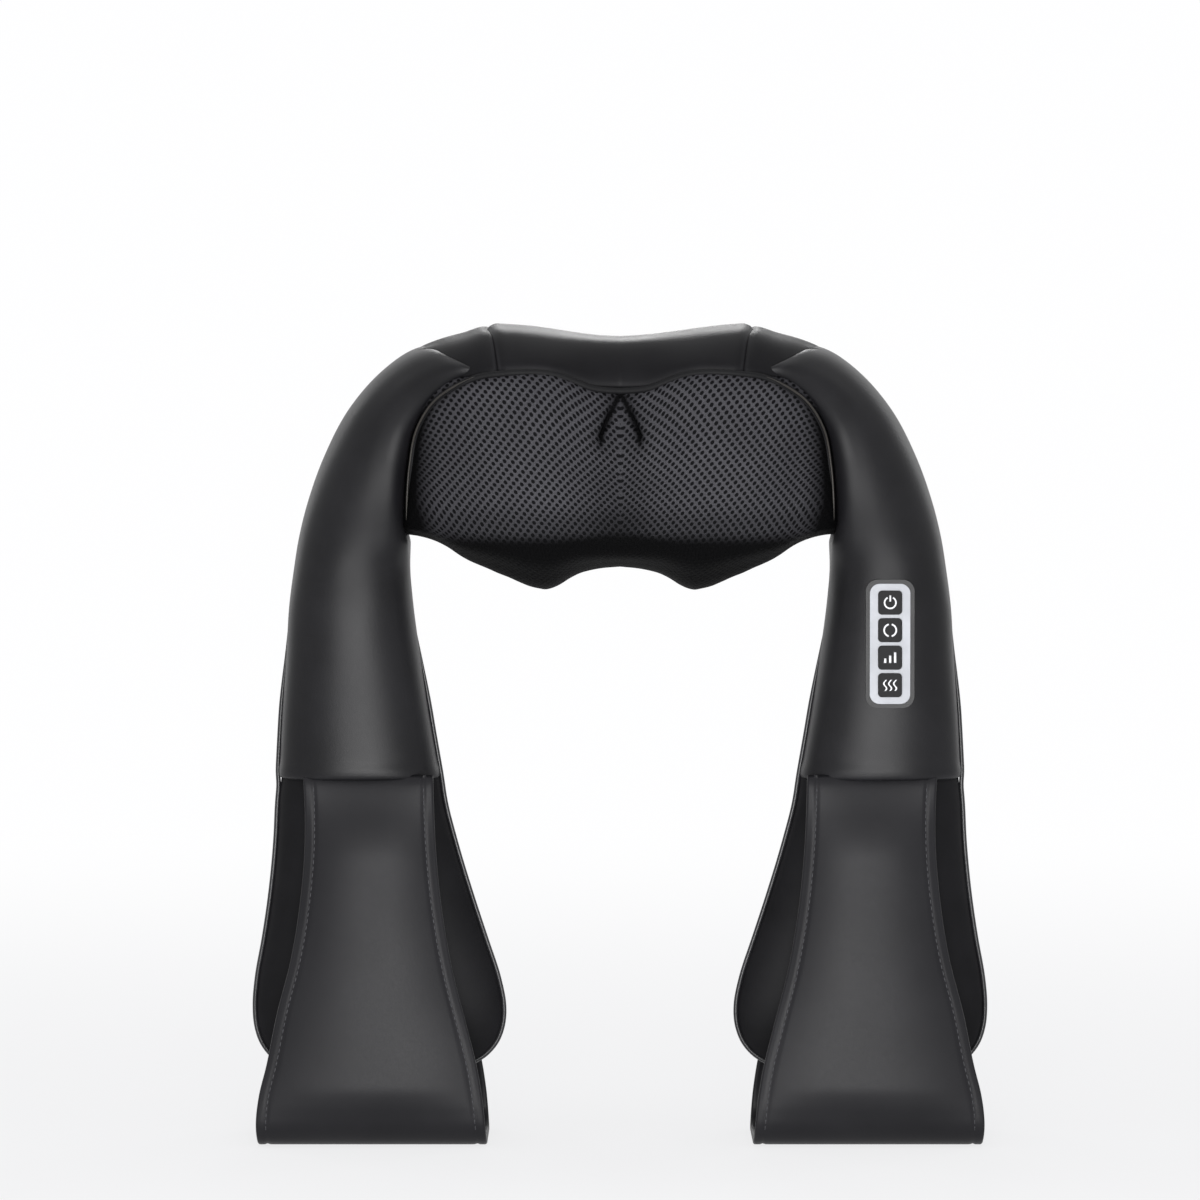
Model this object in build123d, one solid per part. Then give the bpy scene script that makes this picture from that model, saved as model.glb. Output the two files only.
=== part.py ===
from build123d import *
import os
from math import cos, degrees, hypot, pi, radians, sin, sqrt, tan

# A shiatsu neck massager: a padded bridge with a geared kneading drive inside, two soft arms with
# lens shaped pads, and a fabric hand loop under each arm that the massager stands on.
# +X to the right hand arm, -Y to the mesh side that faces the neck, +Z up, floor at Z = 0.
# Soft outlines are written as shares of the half width, the height and the half depth.

# Overall size
WIDTH = 403.0
HEIGHT = 449.0
DEPTH = 150.0

# Soft goods
COVER = 1.8             # leather and mesh thickness
SOFT_GAP = 0.3          # between a cover and the foam or shell inside it
FOAM_PADDING = 8.0      # crown foam between the covers and the plastic case
WELT_WIDTH = 3.2        # binding along the lobed mesh edge
SEAM_HALF_WIDTH = 66.0  # bridge panel at the mesh, between its two slanted seams
SEAM_SLANT = 0.262      # how far the seams spread for each unit of height above the mesh
MESH_BACK = 48.0        # where the mesh ends under the body, behind the middle
TOP_ROUND = 46.0        # rounding of the bridge in side view
LOW_ROUND = 34.0
OUTLINE_MARGIN = 0.6    # the side outline stays this far outside of the other two where they are flat
PIPING_RADIUS = 1.6
STRAP_THICKNESS = 2.5
STRAP_TOP_HALF = 20.5   # half the loop's depth at the hem
STRAP_LOW_HALF = 41.0   # half the loop's depth near the floor
STRAP_CORNER = 17.0

# Plastic case
CASE_WALL = 2.2
CASE_HALF_WIDTH = 97.0
CASE_RIM_ABOVE_TIP = 27.0   # lower rim above the lowest point of the mesh
CASE_SPLIT_ABOVE_RIM = 55.0
FLOOR_ABOVE_RIM = 10.0
FLOOR_THICKNESS = 3.0
SCREW_RADIUS = 1.5
SCREW_HEAD_RADIUS = 3.0
SCREW_HEAD = 2.2
BOSS_RADIUS = 4.5

# Kneading drive
TILT = 23.0             # lean of each output shaft, outwards at its lower end
DRIVE_Y = -8.0          # front to back place of both output shafts
MODULE = 1.75
WHEEL_TEETH = 40
WHEEL_FACE = 9.0
WHEEL_HUB_RADIUS = 9.0
WHEEL_HUB = 18.0
WORM_PITCH_RADIUS = 6.1
WORM_TURNS = 6
BACKLASH = 0.2
PRESSURE_ANGLE = 20.0
GEARBOX_INSIDE = 10.0   # from the wheel's middle plane to each plate
GEARBOX_WALL = 2.5
GEAR_CLEARANCE = 1.5
SHAFT_RADIUS = 4.0
BUSH_WALL = 2.5
BUSH_LENGTH = 16.0
TOP_BUSH_LENGTH = 6.5
RUNNING_GAP = 0.05

# Massage rotors, measured down the output shaft from the wheel's middle plane
HEAD_DROP = 60.0
HEAD_CIRCLE = 21.5
LARGE_HEAD_RADIUS = 11.2
SMALL_HEAD_RADIUS = 9.0
SMALL_HEAD_RISE = 3.5
HEAD_NECK = 0.62        # neck radius as a share of the head radius
HEAD_CLEARANCE = 1.6    # between a large head and the mesh
CARRIER_THICKNESS = 5.0
CARRIER_ARM_WIDTH = 12.0
CARRIER_HUB_RADIUS = 9.0
STALK_RADIUS = 3.2

# Motor
MOTOR_RADIUS = 14.0
MOTOR_LENGTH = 29.0
MOTOR_END_CAP = 3.0
MOTOR_WALL = 1.2
MOTOR_SHAFT_RADIUS = 2.0
MOTOR_CUP_WALL = 2.8
MOTOR_CUP = 12.0
ARMATURE_RADIUS = 9.5

# Boards and leads
BOARD = 1.6
MAIN_BOARD_WIDTH = 64.0
MAIN_BOARD_DEPTH = 62.0
MAIN_BOARD_ABOVE_WORM = 43.0
HEATER_WIDTH = 22.0
HEATER_LENGTH = 60.0
HEATER_SPACER = 1.5
LAMP_RADIUS = 4.0
LEAD_RADIUS = 2.2
MOTOR_LEAD_RADIUS = 0.8

# Control panel on the right hand arm
PANEL_HEIGHT_SHARE = 0.6105  # middle of the panel as a share of the height
PANEL_WIDTH = 26.5
PANEL_HEIGHT = 70.0
PANEL_CORNER = 6.5
PANEL_DEPTH = 14.0
PANEL_PROUD = 2.4
PANEL_RIM = 2.25
PANEL_PLATE = 1.4
BUTTON_SIZE = 12.8
BUTTON_PITCH = 15.0
BUTTON_CORNER = 2.0
BUTTON_PROUD = 1.0
BUTTON_TRAVEL = 0.6
BUTTON_GAP = 0.25
BUTTON_FLANGE = 0.8
SWITCH_SIZE = 6.0
SWITCH_HEIGHT = 3.5

# Power inlet in the back of the right hand arm
INLET_HEIGHT_SHARE = 0.505
INLET_BORE_RADIUS = 2.8
INLET_PIN_RADIUS = 1.05
INLET_ROOT_RADIUS = 1.9
INLET_ROOT = 3.0
INLET_BODY_RADIUS = 5.6
INLET_FLANGE_RADIUS = 8.0
INLET_FLANGE = 1.5
INLET_DEPTH = 14.0
INLET_BORE_DEPTH = 9.5

HALF_WIDTH = WIDTH / 2
HALF_DEPTH = DEPTH / 2
SPREAD = 300.0          # reach of cutting tools, past every outline
STANDING = (Align.CENTER, Align.CENTER, Align.MIN)

# Bridge sections: X share, lower Z share, upper Z share, front Y share, back Y share
BRIDGE = [
    (0.000, 0.7030, 0.9850, -0.88, 1.00),
    (0.109, 0.6950, 0.9886, -0.92, 1.00),
    (0.203, 0.6750, 0.9944, -0.98, 1.00),
    (0.298, 0.6922, 0.9985, -1.00, 1.00),
    (0.377, 0.7060, 0.9960, -0.96, 0.99),
    (0.447, 0.7205, 0.9884, -0.87, 0.92),
    (0.516, 0.7370, 0.9766, -0.67, 0.80),
    (0.566, 0.7460, 0.9577, -0.48, 0.64),
    (0.625, 0.7620, 0.9220, -0.19, 0.37),
]
# Arm sections from hem to seam: outer X, outer Z, inner X, inner Z, front Y, back Y shares
ARM = [
    (0.929, 0.4432, 0.491, 0.4432, -0.360, 0.360),
    (0.907, 0.6236, 0.555, 0.6236, -0.373, 0.387),
    (0.880, 0.7250, 0.573, 0.7300, -0.395, 0.435),
    (0.836, 0.7996, 0.570, 0.8085, -0.440, 0.530),
    (0.776, 0.8640, 0.540, 0.8700, -0.520, 0.665),
    (0.690, 0.9200, 0.485, 0.9060, -0.590, 0.745),
    (0.526, 0.9738, 0.362, 0.9325, -0.680, 0.787),
]
# Pad sections from hem to tip: Z, outer X, inner X, half thickness shares
PAD = [
    (0.4432, 0.929, 0.491, 0.227),
    (0.3000, 0.946, 0.411, 0.217),
    (0.1850, 0.989, 0.331, 0.185),
    (0.1250, 0.985, 0.337, 0.145),
    (0.0975, 0.950, 0.395, 0.092),
    (0.0890, 0.900, 0.460, 0.050),
]
# Hand strap outline as (X, Z) shares, down its outer edge and down its inner edge
STRAP_OUTER = [(0.853, 0.4432), (0.849, 0.345), (0.884, 0.228), (0.951, 0.097), (0.980, 0.031), (0.975, -0.01)]
STRAP_INNER = [(0.513, 0.4432), (0.503, 0.345), (0.459, 0.211), (0.392, 0.093), (0.377, 0.054), (0.367, -0.01)]
# Lobed mesh edge as (X, Z) shares from the arm to the pleat
LOBE = [
    (0.573, 0.739), (0.568, 0.821), (0.546, 0.870), (0.491, 0.9065), (0.409, 0.9285),
    (0.328, 0.9383), (0.218, 0.9408), (0.150, 0.9359), (0.082, 0.9236), (0.000, 0.9200),
]


# Places worked out from the sizes above

def across(share):
    return share * HALF_WIDTH


def height(share):
    return share * HEIGHT


def deep(share):
    return share * HALF_DEPTH


SIN_TILT = sin(radians(TILT))
COS_TILT = cos(radians(TILT))
HEM_Z = height(ARM[0][1])
MESH_TIP_Z = height(BRIDGE[2][1])
CASE_RIM_Z = MESH_TIP_Z + CASE_RIM_ABOVE_TIP
CASE_SPLIT_Z = CASE_RIM_Z + CASE_SPLIT_ABOVE_RIM
FLOOR_Z = CASE_RIM_Z + FLOOR_ABOVE_RIM
CASE_INSET = COVER + FOAM_PADDING
MOUNT_HEAD_Z = FLOOR_Z + SCREW_HEAD + 1.0

WHEEL_RADIUS = MODULE * WHEEL_TEETH / 2
WHEEL_TIP_RADIUS = WHEEL_RADIUS + MODULE
WORM_LEAD = pi * MODULE
WORM_TIP_RADIUS = WORM_PITCH_RADIUS + MODULE
SHAFT_SPACING = WHEEL_RADIUS + WORM_PITCH_RADIUS
HEAD_INNER_DROP_Z = HEAD_DROP * COS_TILT + HEAD_CIRCLE * SIN_TILT
WHEEL_Z = MESH_TIP_Z + COVER + HEAD_CLEARANCE + LARGE_HEAD_RADIUS + HEAD_INNER_DROP_Z
WORM_Z = WHEEL_Z - SHAFT_SPACING * SIN_TILT
WHEEL_X = SHAFT_SPACING * COS_TILT
WING_REACH = SHAFT_SPACING + WHEEL_TIP_RADIUS + GEAR_CLEARANCE
GEARBOX_HALF_DEPTH = WHEEL_TIP_RADIUS + GEAR_CLEARANCE
BUSH_RADIUS = SHAFT_RADIUS + BUSH_WALL
BUSH_BOSS_RADIUS = BUSH_RADIUS + GEARBOX_WALL
BUSH_START = WHEEL_HUB / 2 + SOFT_GAP
CARRIER_TOP = BUSH_START + BUSH_LENGTH + SOFT_GAP
CARRIER_LOW = CARRIER_TOP + 13.0

WORM_HALF_LENGTH = WORM_TURNS * WORM_LEAD / 2
WORM_BUSH_Y = DRIVE_Y - WORM_HALF_LENGTH - 2.0
WORM_BUSH_LENGTH = 7.0
MOTOR_CUP_Y = DRIVE_Y + sqrt(WHEEL_TIP_RADIUS ** 2 - (SHAFT_SPACING - MOTOR_RADIUS - MOTOR_CUP_WALL - 1.5) ** 2)
MOTOR_Y = MOTOR_CUP_Y + GEARBOX_WALL
MOTOR_BACK_Y = MOTOR_Y + MOTOR_LENGTH
PILLAR_OFFSET = 25.0
PILLAR_HALF_WIDTH = 10.0
PILLAR_LENGTH = 9.0
MAIN_BOARD_Z = WORM_Z + MAIN_BOARD_ABOVE_WORM


def arm_row_at(z_share):
    """Outer X, inner X, front Y and back Y shares of the arm at a height share, by straight lines."""
    above = next(index for index, row in enumerate(ARM) if row[1] > z_share)
    low, high = ARM[above - 1], ARM[above]
    part = (z_share - low[1]) / (high[1] - low[1])
    return [low[k] + part * (high[k] - low[k]) for k in (0, 2, 4, 5)]


PANEL_Z = height(PANEL_HEIGHT_SHARE)
PANEL_ROW = arm_row_at(PANEL_HEIGHT_SHARE)
PANEL_X = across((PANEL_ROW[0] + PANEL_ROW[1]) / 2)
PANEL_FRONT_Y = deep(PANEL_ROW[2]) - PANEL_PROUD
PANEL_BACK_Y = PANEL_FRONT_Y + PANEL_DEPTH
PLATE_BACK_Y = PANEL_FRONT_Y + 0.2 + PANEL_PLATE
FLANGE_BACK_Y = PLATE_BACK_Y + BUTTON_GAP + BUTTON_FLANGE
STEM_BACK_Y = FLANGE_BACK_Y + 1.4
KEY_BOARD_Y = STEM_BACK_Y + BUTTON_TRAVEL + 0.1 + SWITCH_HEIGHT
BUTTON_NAMES = ["power_button", "direction_button", "speed_button", "heat_button"]

INLET_Z = height(INLET_HEIGHT_SHARE)
INLET_ROW = arm_row_at(INLET_HEIGHT_SHARE)
INLET_X = across((INLET_ROW[0] + INLET_ROW[1]) / 2)
INLET_Y = deep(INLET_ROW[3])


# Small helpers

def ring(middle, out, half_out, half_deep):
    """Ellipse in the plane of the direction out and the Y axis."""
    plane = Plane(origin=middle, x_dir=out, z_dir=out.cross(Vector(0, 1, 0)))
    return Wire([Edge.make_ellipse(half_out, half_deep, plane=plane)])


def mirrored(solid):
    return mirror(solid, about=Plane.YZ)


def slab(low_x, high_x, low_y, high_y, low_z, high_z):
    corner = Pos(low_x, low_y, low_z)
    return corner * Box(high_x - low_x, high_y - low_y, high_z - low_z, align=(Align.MIN,) * 3)


def rod(plane, radius, low, high):
    return plane * Pos(0, 0, low) * Cylinder(radius, high - low, align=STANDING)


def sleeve(plane, outer, inner, low, high):
    return rod(plane, outer, low, high) - rod(plane, inner, low - 1, high + 1)


def along_y(x, z):
    """Plane whose Z axis runs along +Y, so that heights in it are Y values."""
    return Plane(origin=(x, 0, z), x_dir=(1, 0, 0), z_dir=(0, 1, 0))


def upright(x, y):
    return Plane(origin=(x, y, 0))


def prism(points, low_y, high_y):
    """Closed (X, Z) outline carried from low_y to high_y."""
    face = make_face(Plane.XZ * Polyline(*points, close=True))
    return Pos(0, high_y, 0) * extrude(face, high_y - low_y)


def plate(width, tall, corner, low_y, high_y, x, z):
    """Rounded rectangle standing in the XZ plane, from low_y to high_y."""
    face = Plane.XZ * Pos(x, z) * RectangleRounded(width, tall, corner)
    return Pos(0, high_y, 0) * extrude(face, high_y - low_y)


def bend_radii(points, most_cut=None):
    """Largest tangent arc that each corner leaves room for, or one that cuts it by no more than most_cut."""
    radii = []
    for before, here, after in zip(points, points[1:], points[2:]):
        first = Vector(*here) - Vector(*before)
        second = Vector(*after) - Vector(*here)
        half_turn = radians(first.get_angle(second)) / 2
        room = 0.45 * min(first.length, second.length) / tan(half_turn)
        radii.append(room if most_cut is None else min(room, most_cut / (1 / cos(half_turn) - 1)))
    return radii


def lead(points, radius, most_cut=None):
    """Round lead along straight runs joined by tangent arcs."""
    path = FilletPolyline(*points, radius=bend_radii(points, most_cut))
    start = Plane(origin=path @ 0, z_dir=path % 0)
    return sweep(start * Circle(radius), path=path)


# Soft outlines

def outline(low, high, plane, reach, inset):
    """Symmetric outline carried through the bridge, between a lower and an upper curve."""
    shrink = (reach - inset) / reach
    low = [(x * shrink, value + inset) for x, value in low]
    high = [(x * shrink, value - inset) for x, value in high]
    lower = [(-x, value) for x, value in low[:0:-1]] + low
    upper = [(-x, value) for x, value in high[:0:-1]] + high
    ends = [Line(lower[0], upper[0]), Line(lower[-1], upper[-1])]
    return plane * make_face([Spline(*lower), Spline(*upper), *ends])


def bridge(inset=0.0):
    """The padded bridge: its front, top and side outlines carried through each other."""
    reach = across(BRIDGE[-1][0])
    zs = [[(across(row[0]), height(row[column])) for row in BRIDGE] for column in (1, 2)]
    ys = [[(across(row[0]), deep(row[column])) for row in BRIDGE] for column in (3, 4)]
    front = Pos(0, SPREAD, 0) * extrude(outline(*zs, Plane.XZ, reach, inset), 2 * SPREAD)
    top = extrude(outline(*ys, Plane.XY, reach, inset), 2 * HEIGHT)
    low_z, high_z = MESH_TIP_Z + inset, max(z for x, z in zs[1]) - inset
    past = OUTLINE_MARGIN
    profile = Pos(0, (low_z + high_z) / 2) * Rectangle(DEPTH - 2 * inset + 2 * past, high_z - low_z + 2 * past)
    profile = fillet(profile.vertices().group_by(Axis.Y)[-1], TOP_ROUND + past - inset)
    profile = fillet(profile.vertices().group_by(Axis.Y)[0], LOW_ROUND + past - inset)
    side = extrude(Plane.YZ * profile, SPREAD, both=True)
    return front & top & side


def arm(inset=0.0, lift=0.0, past_seam=0.0):
    """Right hand arm, with its hem raised by lift and its upper end moved on by past_seam."""
    wires = []
    for row, (x_out, z_out, x_in, z_in, front, back) in enumerate(ARM):
        outer = Vector(across(x_out), 0, height(z_out))
        inner = Vector(across(x_in), 0, height(z_in))
        out = (outer - inner).normalized()
        middle = (outer + inner) * 0.5 + Vector(0, deep(front + back) / 2, 0)
        if row == 0:
            middle += Vector(0, 0, lift)
        if row == len(ARM) - 1:
            middle += out.cross(Vector(0, 1, 0)) * past_seam
        half_out = (outer - inner).length / 2 - inset
        wires.append(ring(middle, out, half_out, deep(back - front) / 2 - inset))
    return Solid.make_loft(wires, True)


def pad(inset=0.0):
    """Right hand pad, a lens in section, its skin moved inwards by inset."""
    wires = []
    for row, (z, x_out, x_in, half) in enumerate(PAD):
        shift = -inset if row == 0 else inset if row == len(PAD) - 1 else 0.0
        middle = Vector(across(x_out + x_in) / 2, 0, height(z) + shift)
        wires.append(ring(middle, Vector(1, 0, 0), across(x_out - x_in) / 2 - inset, deep(half) - inset))
    return Solid.make_loft(wires, True)


def lobes(lower=0.0):
    """Everything in front of MESH_BACK and under the lobed edge, which may be lowered."""
    half = [(across(x), height(z) - lower) for x, z in LOBE]
    top = [(-x, z) for x, z in half] + half[-2::-1]
    base_z = MESH_TIP_Z - 20
    side_x = across(BRIDGE[-1][0]) + 20
    rim_z = half[0][1]
    edge = Spline(*top)
    sides = Polyline(top[-1], (side_x, rim_z), (side_x, base_z), (-side_x, base_z), (-side_x, rim_z), top[0])
    face = Plane.XZ * make_face([edge, *sides.edges()])
    return Pos(0, MESH_BACK, 0) * extrude(face, MESH_BACK + SPREAD)


def bridge_panel_tool():
    """Wedge between the two slanted seams of the bridge panel."""
    mesh_z = height(LOBE[5][1])
    rise = HEIGHT + 20 - mesh_z
    top_x = SEAM_HALF_WIDTH + SEAM_SLANT * rise
    low_z = MESH_TIP_Z - 20
    right = [(SEAM_HALF_WIDTH, low_z), (SEAM_HALF_WIDTH, mesh_z), (top_x, mesh_z + rise)]
    left = [(-x, z) for x, z in right[::-1]]
    return prism(right + left, -SPREAD, SPREAD)


def beyond_case(gap=0.0):
    """Outside of the plastic case, grown by gap, from its lower rim upwards."""
    half = CASE_HALF_WIDTH + gap
    shell = bridge(CASE_INSET - gap)
    return shell & slab(-half, half, -SPREAD, SPREAD, CASE_RIM_Z, HEIGHT)


# Gearbox outlines

def wing(reach, low, high, low_y, high_y):
    """V shaped block about the plane of both wheels, between two heights above that plane."""
    def points(offset):
        apex = (0.0, WORM_Z + offset / COS_TILT)
        end_x = reach * COS_TILT - offset * SIN_TILT
        end_z = WORM_Z + reach * SIN_TILT + offset * COS_TILT
        return [(-end_x, end_z), apex, (end_x, end_z)]
    return prism(points(low) + points(high)[::-1], low_y, high_y)


def shaft_plane(side):
    """Frame on a wheel's centre: X towards the worm, Z up the output shaft. side is -1 or 1."""
    return Plane(
        origin=(side * WHEEL_X, DRIVE_Y, WHEEL_Z),
        x_dir=(-side * COS_TILT, 0, -SIN_TILT),
        z_dir=(-side * SIN_TILT, 0, COS_TILT),
    )


LEFT_SHAFT = shaft_plane(-1)
WORM_AXIS = along_y(0, WORM_Z)


def wing_top(x):
    """Z of the gearbox cover's upper face at a distance x from the middle."""
    return WORM_Z + (GEARBOX_INSIDE + GEARBOX_WALL) / COS_TILT + abs(x) * tan(radians(TILT))


# Routes of the internal leads

def panel_lead_route():
    x, z = PANEL_X, PANEL_Z + PANEL_HEIGHT / 4
    wing_end = WING_REACH * COS_TILT
    top = WORM_Z + WING_REACH * SIN_TILT + GEARBOX_INSIDE + 4 * GEARBOX_WALL
    board_x = MAIN_BOARD_WIDTH / 2 - 8
    return [
        (x, PANEL_BACK_Y, z), (x, PANEL_BACK_Y + 9, z), (x + 1, PANEL_BACK_Y + 14, z + 28),
        (x - 1, 2, z + 62), (x - 12, 5, z + 86), (x - 31, 8, z + 105), (x - 54, 10, top + 3),
        (wing_end, 9, top + 4), (wing_end - 20, 8, top + 3), (board_x, 8, MAIN_BOARD_Z + BOARD + 13),
        (board_x, 8, MAIN_BOARD_Z + BOARD + 5),
    ]


def inlet_lead_route():
    low_z = PANEL_Z - PANEL_HEIGHT / 3
    inside_y = INLET_Y + INLET_FLANGE - INLET_DEPTH
    return [
        (INLET_X, inside_y, INLET_Z), (INLET_X, inside_y - 9, INLET_Z),
        (PANEL_X, PANEL_BACK_Y + 9, low_z), (PANEL_X, PANEL_BACK_Y, low_z),
    ]


def motor_lead_route(side):
    x = side * 5.0
    back_y = MOTOR_BACK_Y + 1.2
    return [
        (x, back_y, WORM_Z + 8), (x, back_y + 0.4, WORM_Z + 20), (x, back_y - 5, MAIN_BOARD_Z - 7),
        (x, back_y - 16, MAIN_BOARD_Z + 9), (x, DRIVE_Y + MAIN_BOARD_DEPTH / 2 - 8, MAIN_BOARD_Z + 12),
        (x, DRIVE_Y + MAIN_BOARD_DEPTH / 2 - 8, MAIN_BOARD_Z + BOARD + 4),
    ]


# Covers and foam

def covers():
    shell = bridge() - bridge(COVER)
    mesh_zone, welt_zone = lobes(WELT_WIDTH), lobes()
    mesh = shell & mesh_zone
    welt = (shell & welt_zone) - mesh_zone
    leather = shell - welt_zone
    panel_tool = bridge_panel_tool()
    gusset = (leather - panel_tool) & slab(0, SPREAD, -SPREAD, SPREAD, 0, 2 * HEIGHT)
    lead_hole = lead(panel_lead_route(), LEAD_RADIUS + SOFT_GAP)
    return {
        "bridge_cover": leather & panel_tool,
        "mesh_cover": mesh,
        "mesh_welt": welt,
        "left_gusset": mirrored(gusset),
        "right_gusset": gusset - lead_hole,
    }


def crown_foam():
    inside = bridge(COVER + SOFT_GAP) & slab(-SPREAD, SPREAD, -SPREAD, SPREAD, CASE_RIM_Z, HEIGHT)
    return inside - beyond_case(SOFT_GAP) - rotor_hole() - lead(panel_lead_route(), LEAD_RADIUS + SOFT_GAP)


def piping_route():
    """Runs that follow the edges of arm and pad, a seat's gap outside of them."""
    arm_x_out, arm_z, arm_x_in = ARM[1][:3]
    rows = [(arm_x_out, arm_x_in, arm_z)] + [(x_out, x_in, z) for z, x_out, x_in, half in PAD]
    outer = [(across(x_out), height(z)) for x_out, x_in, z in rows]
    inner = [(across(x_in), height(z)) for x_out, x_in, z in rows]
    edge = outer + inner[::-1]
    normals = []
    for (x, z), (next_x, next_z) in zip(edge, edge[1:]):
        length = hypot(next_x - x, next_z - z)
        normals.append(((z - next_z) / length, (next_x - x) / length))
    off = PIPING_RADIUS + SOFT_GAP
    route = []
    for (x, z), first, second in zip(edge, normals[:1] + normals, normals + normals[-1:]):
        shared = off / (1 + first[0] * second[0] + first[1] * second[1])
        route.append((x + (first[0] + second[0]) * shared, 0, z + (first[1] + second[1]) * shared))
    return route


def arm_parts():
    body = bridge()
    wide_body = bridge(-SOFT_GAP)
    inset = COVER + SOFT_GAP
    cover = arm() - arm(COVER, COVER, 5.0) - body
    foam = arm(inset, inset, -2.0) - wide_body
    piping = lead(piping_route(), PIPING_RADIUS, 0.8 * SOFT_GAP)
    pad_cover = pad() - pad(COVER)
    pad_foam = pad(inset)
    pocket = panel_block(PANEL_FRONT_Y - 10, PANEL_BACK_Y)
    foam_pocket = panel_block(PANEL_FRONT_Y - 10, PANEL_BACK_Y + SOFT_GAP, SOFT_GAP)
    inlet_axis = along_y(INLET_X, INLET_Z)
    channels = lead(panel_lead_route(), LEAD_RADIUS + SOFT_GAP) + lead(inlet_lead_route(), LEAD_RADIUS + SOFT_GAP)
    inlet_hole = rod(inlet_axis, INLET_BODY_RADIUS, 0, HALF_DEPTH)
    foam_hole = rod(inlet_axis, INLET_BODY_RADIUS + SOFT_GAP, INLET_Y - INLET_DEPTH, HALF_DEPTH)
    flange = rod(inlet_axis, INLET_FLANGE_RADIUS, INLET_Y - 0.6, HALF_DEPTH)
    return {
        "left_arm_cover": mirrored(cover),
        "right_arm_cover": cover - pocket - inlet_hole - flange,
        "left_arm_foam": mirrored(foam),
        "right_arm_foam": foam - foam_pocket - foam_hole - channels,
        "edge_piping": Compound([piping, mirrored(piping)]),
        "left_pad_cover": mirrored(pad_cover),
        "right_pad_cover": pad_cover,
        "left_pad_foam": mirrored(pad_foam),
        "right_pad_foam": pad_foam,
    }


def strap():
    """Right hand loop: a band in side view, trimmed to its outline in front view."""
    def side(inset):
        top, low, radius = STRAP_TOP_HALF - inset, STRAP_LOW_HALF - inset, STRAP_CORNER - inset
        knee_z = height(0.12)
        points = [(-top, HEM_Z), (-low, knee_z), (-low, inset), (low, inset), (low, knee_z), (top, HEM_Z)]
        route = FilletPolyline(*points, radius=[60, radius, radius, 60])
        lid = Line(points[-1], points[0])
        return extrude(Plane.YZ * make_face([*route.edges(), lid]), WIDTH)
    band = side(0) - side(STRAP_THICKNESS)
    outer = [(across(x), height(z)) for x, z in STRAP_OUTER]
    inner = [(across(x), height(z)) for x, z in STRAP_INNER]
    ends = [Line(outer[-1], inner[-1]), Line(inner[0], outer[0])]
    face = Plane.XZ * make_face([Spline(*outer), Spline(*inner), *ends])
    return band & (Pos(0, HALF_DEPTH, 0) * extrude(face, DEPTH))


# Plastic case

def rotor_hole():
    radius = HEAD_CIRCLE + LARGE_HEAD_RADIUS + 3.0
    hole = rod(LEFT_SHAFT, radius, -2 * HEAD_DROP, -CARRIER_TOP + 1)
    return hole + mirrored(hole)


def boss_axes():
    """Upright axes of the four screws that close the case."""
    x = CASE_HALF_WIDTH - CASE_WALL - BOSS_RADIUS + 1.0
    return [upright(side * x, y) for y in (-0.38 * HALF_DEPTH, 0.56 * HALF_DEPTH) for side in (-1, 1)]


def case_bosses(low, high, radius):
    rods = [rod(axis, radius, low, high) for axis in boss_axes()]
    return rods[0] + rods[1:]


def case_shell():
    inner_half = CASE_HALF_WIDTH - CASE_WALL
    inner = bridge(CASE_INSET + CASE_WALL) & slab(-inner_half, inner_half, -SPREAD, SPREAD, 0, HEIGHT)
    return beyond_case() - inner, beyond_case()


def pillars():
    """Two feet under the gearbox, on the web between the rotor holes."""
    feet = []
    for side in (-1, 1):
        y = DRIVE_Y + side * PILLAR_OFFSET
        low_y, high_y = y - PILLAR_LENGTH / 2, y + PILLAR_LENGTH / 2
        foot = slab(-PILLAR_HALF_WIDTH, PILLAR_HALF_WIDTH, low_y, high_y, FLOOR_Z, WORM_Z)
        foot -= wing(WING_REACH, -GEARBOX_INSIDE - GEARBOX_WALL, SPREAD, low_y - 1, high_y + 1)
        feet.append(foot - motor_cup(MOTOR_RADIUS + MOTOR_CUP_WALL, MOTOR_CUP_Y, SPREAD))
    return feet[0] + feet[1]


def mount_axes():
    return [upright(0, DRIVE_Y + side * PILLAR_OFFSET) for side in (-1, 1)]


def mount_screw_holes():
    holes = []
    for axis in mount_axes():
        holes.append(rod(axis, SCREW_RADIUS, FLOOR_Z - 1, WORM_Z))
        holes.append(rod(axis, SCREW_HEAD_RADIUS + 0.2, FLOOR_Z - 1, MOUNT_HEAD_Z))
    return holes[0] + holes[1:]


def cases():
    shell, block = case_shell()
    below = slab(-SPREAD, SPREAD, -SPREAD, SPREAD, 0, CASE_SPLIT_Z)
    floor = block & slab(-SPREAD, SPREAD, -SPREAD, SPREAD, FLOOR_Z, FLOOR_Z + FLOOR_THICKNESS)
    lower = (shell & below) + floor - rotor_hole() + pillars()
    lower += case_bosses(CASE_SPLIT_Z - 26, CASE_SPLIT_Z, BOSS_RADIUS) & block
    for y in (DRIVE_Y - HEATER_LENGTH / 5, DRIVE_Y + HEATER_LENGTH / 5):
        lower += rod(upright(0, y), 3.0, FLOOR_Z - HEATER_SPACER, FLOOR_Z + 1)
    lower -= case_bosses(0, CASE_SPLIT_Z - 24, SCREW_HEAD_RADIUS + 0.2) + case_bosses(0, SPREAD * 2, SCREW_RADIUS + 0.1)
    lower -= mount_screw_holes()
    upper = (shell - below) + (case_bosses(CASE_SPLIT_Z, CASE_SPLIT_Z + 14, BOSS_RADIUS) & block)
    upper -= case_bosses(CASE_SPLIT_Z - 1, CASE_SPLIT_Z + 10, SCREW_RADIUS)
    upper -= lead(panel_lead_route(), LEAD_RADIUS + SOFT_GAP)
    return {"upper_case": upper, "lower_case": lower}


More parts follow.
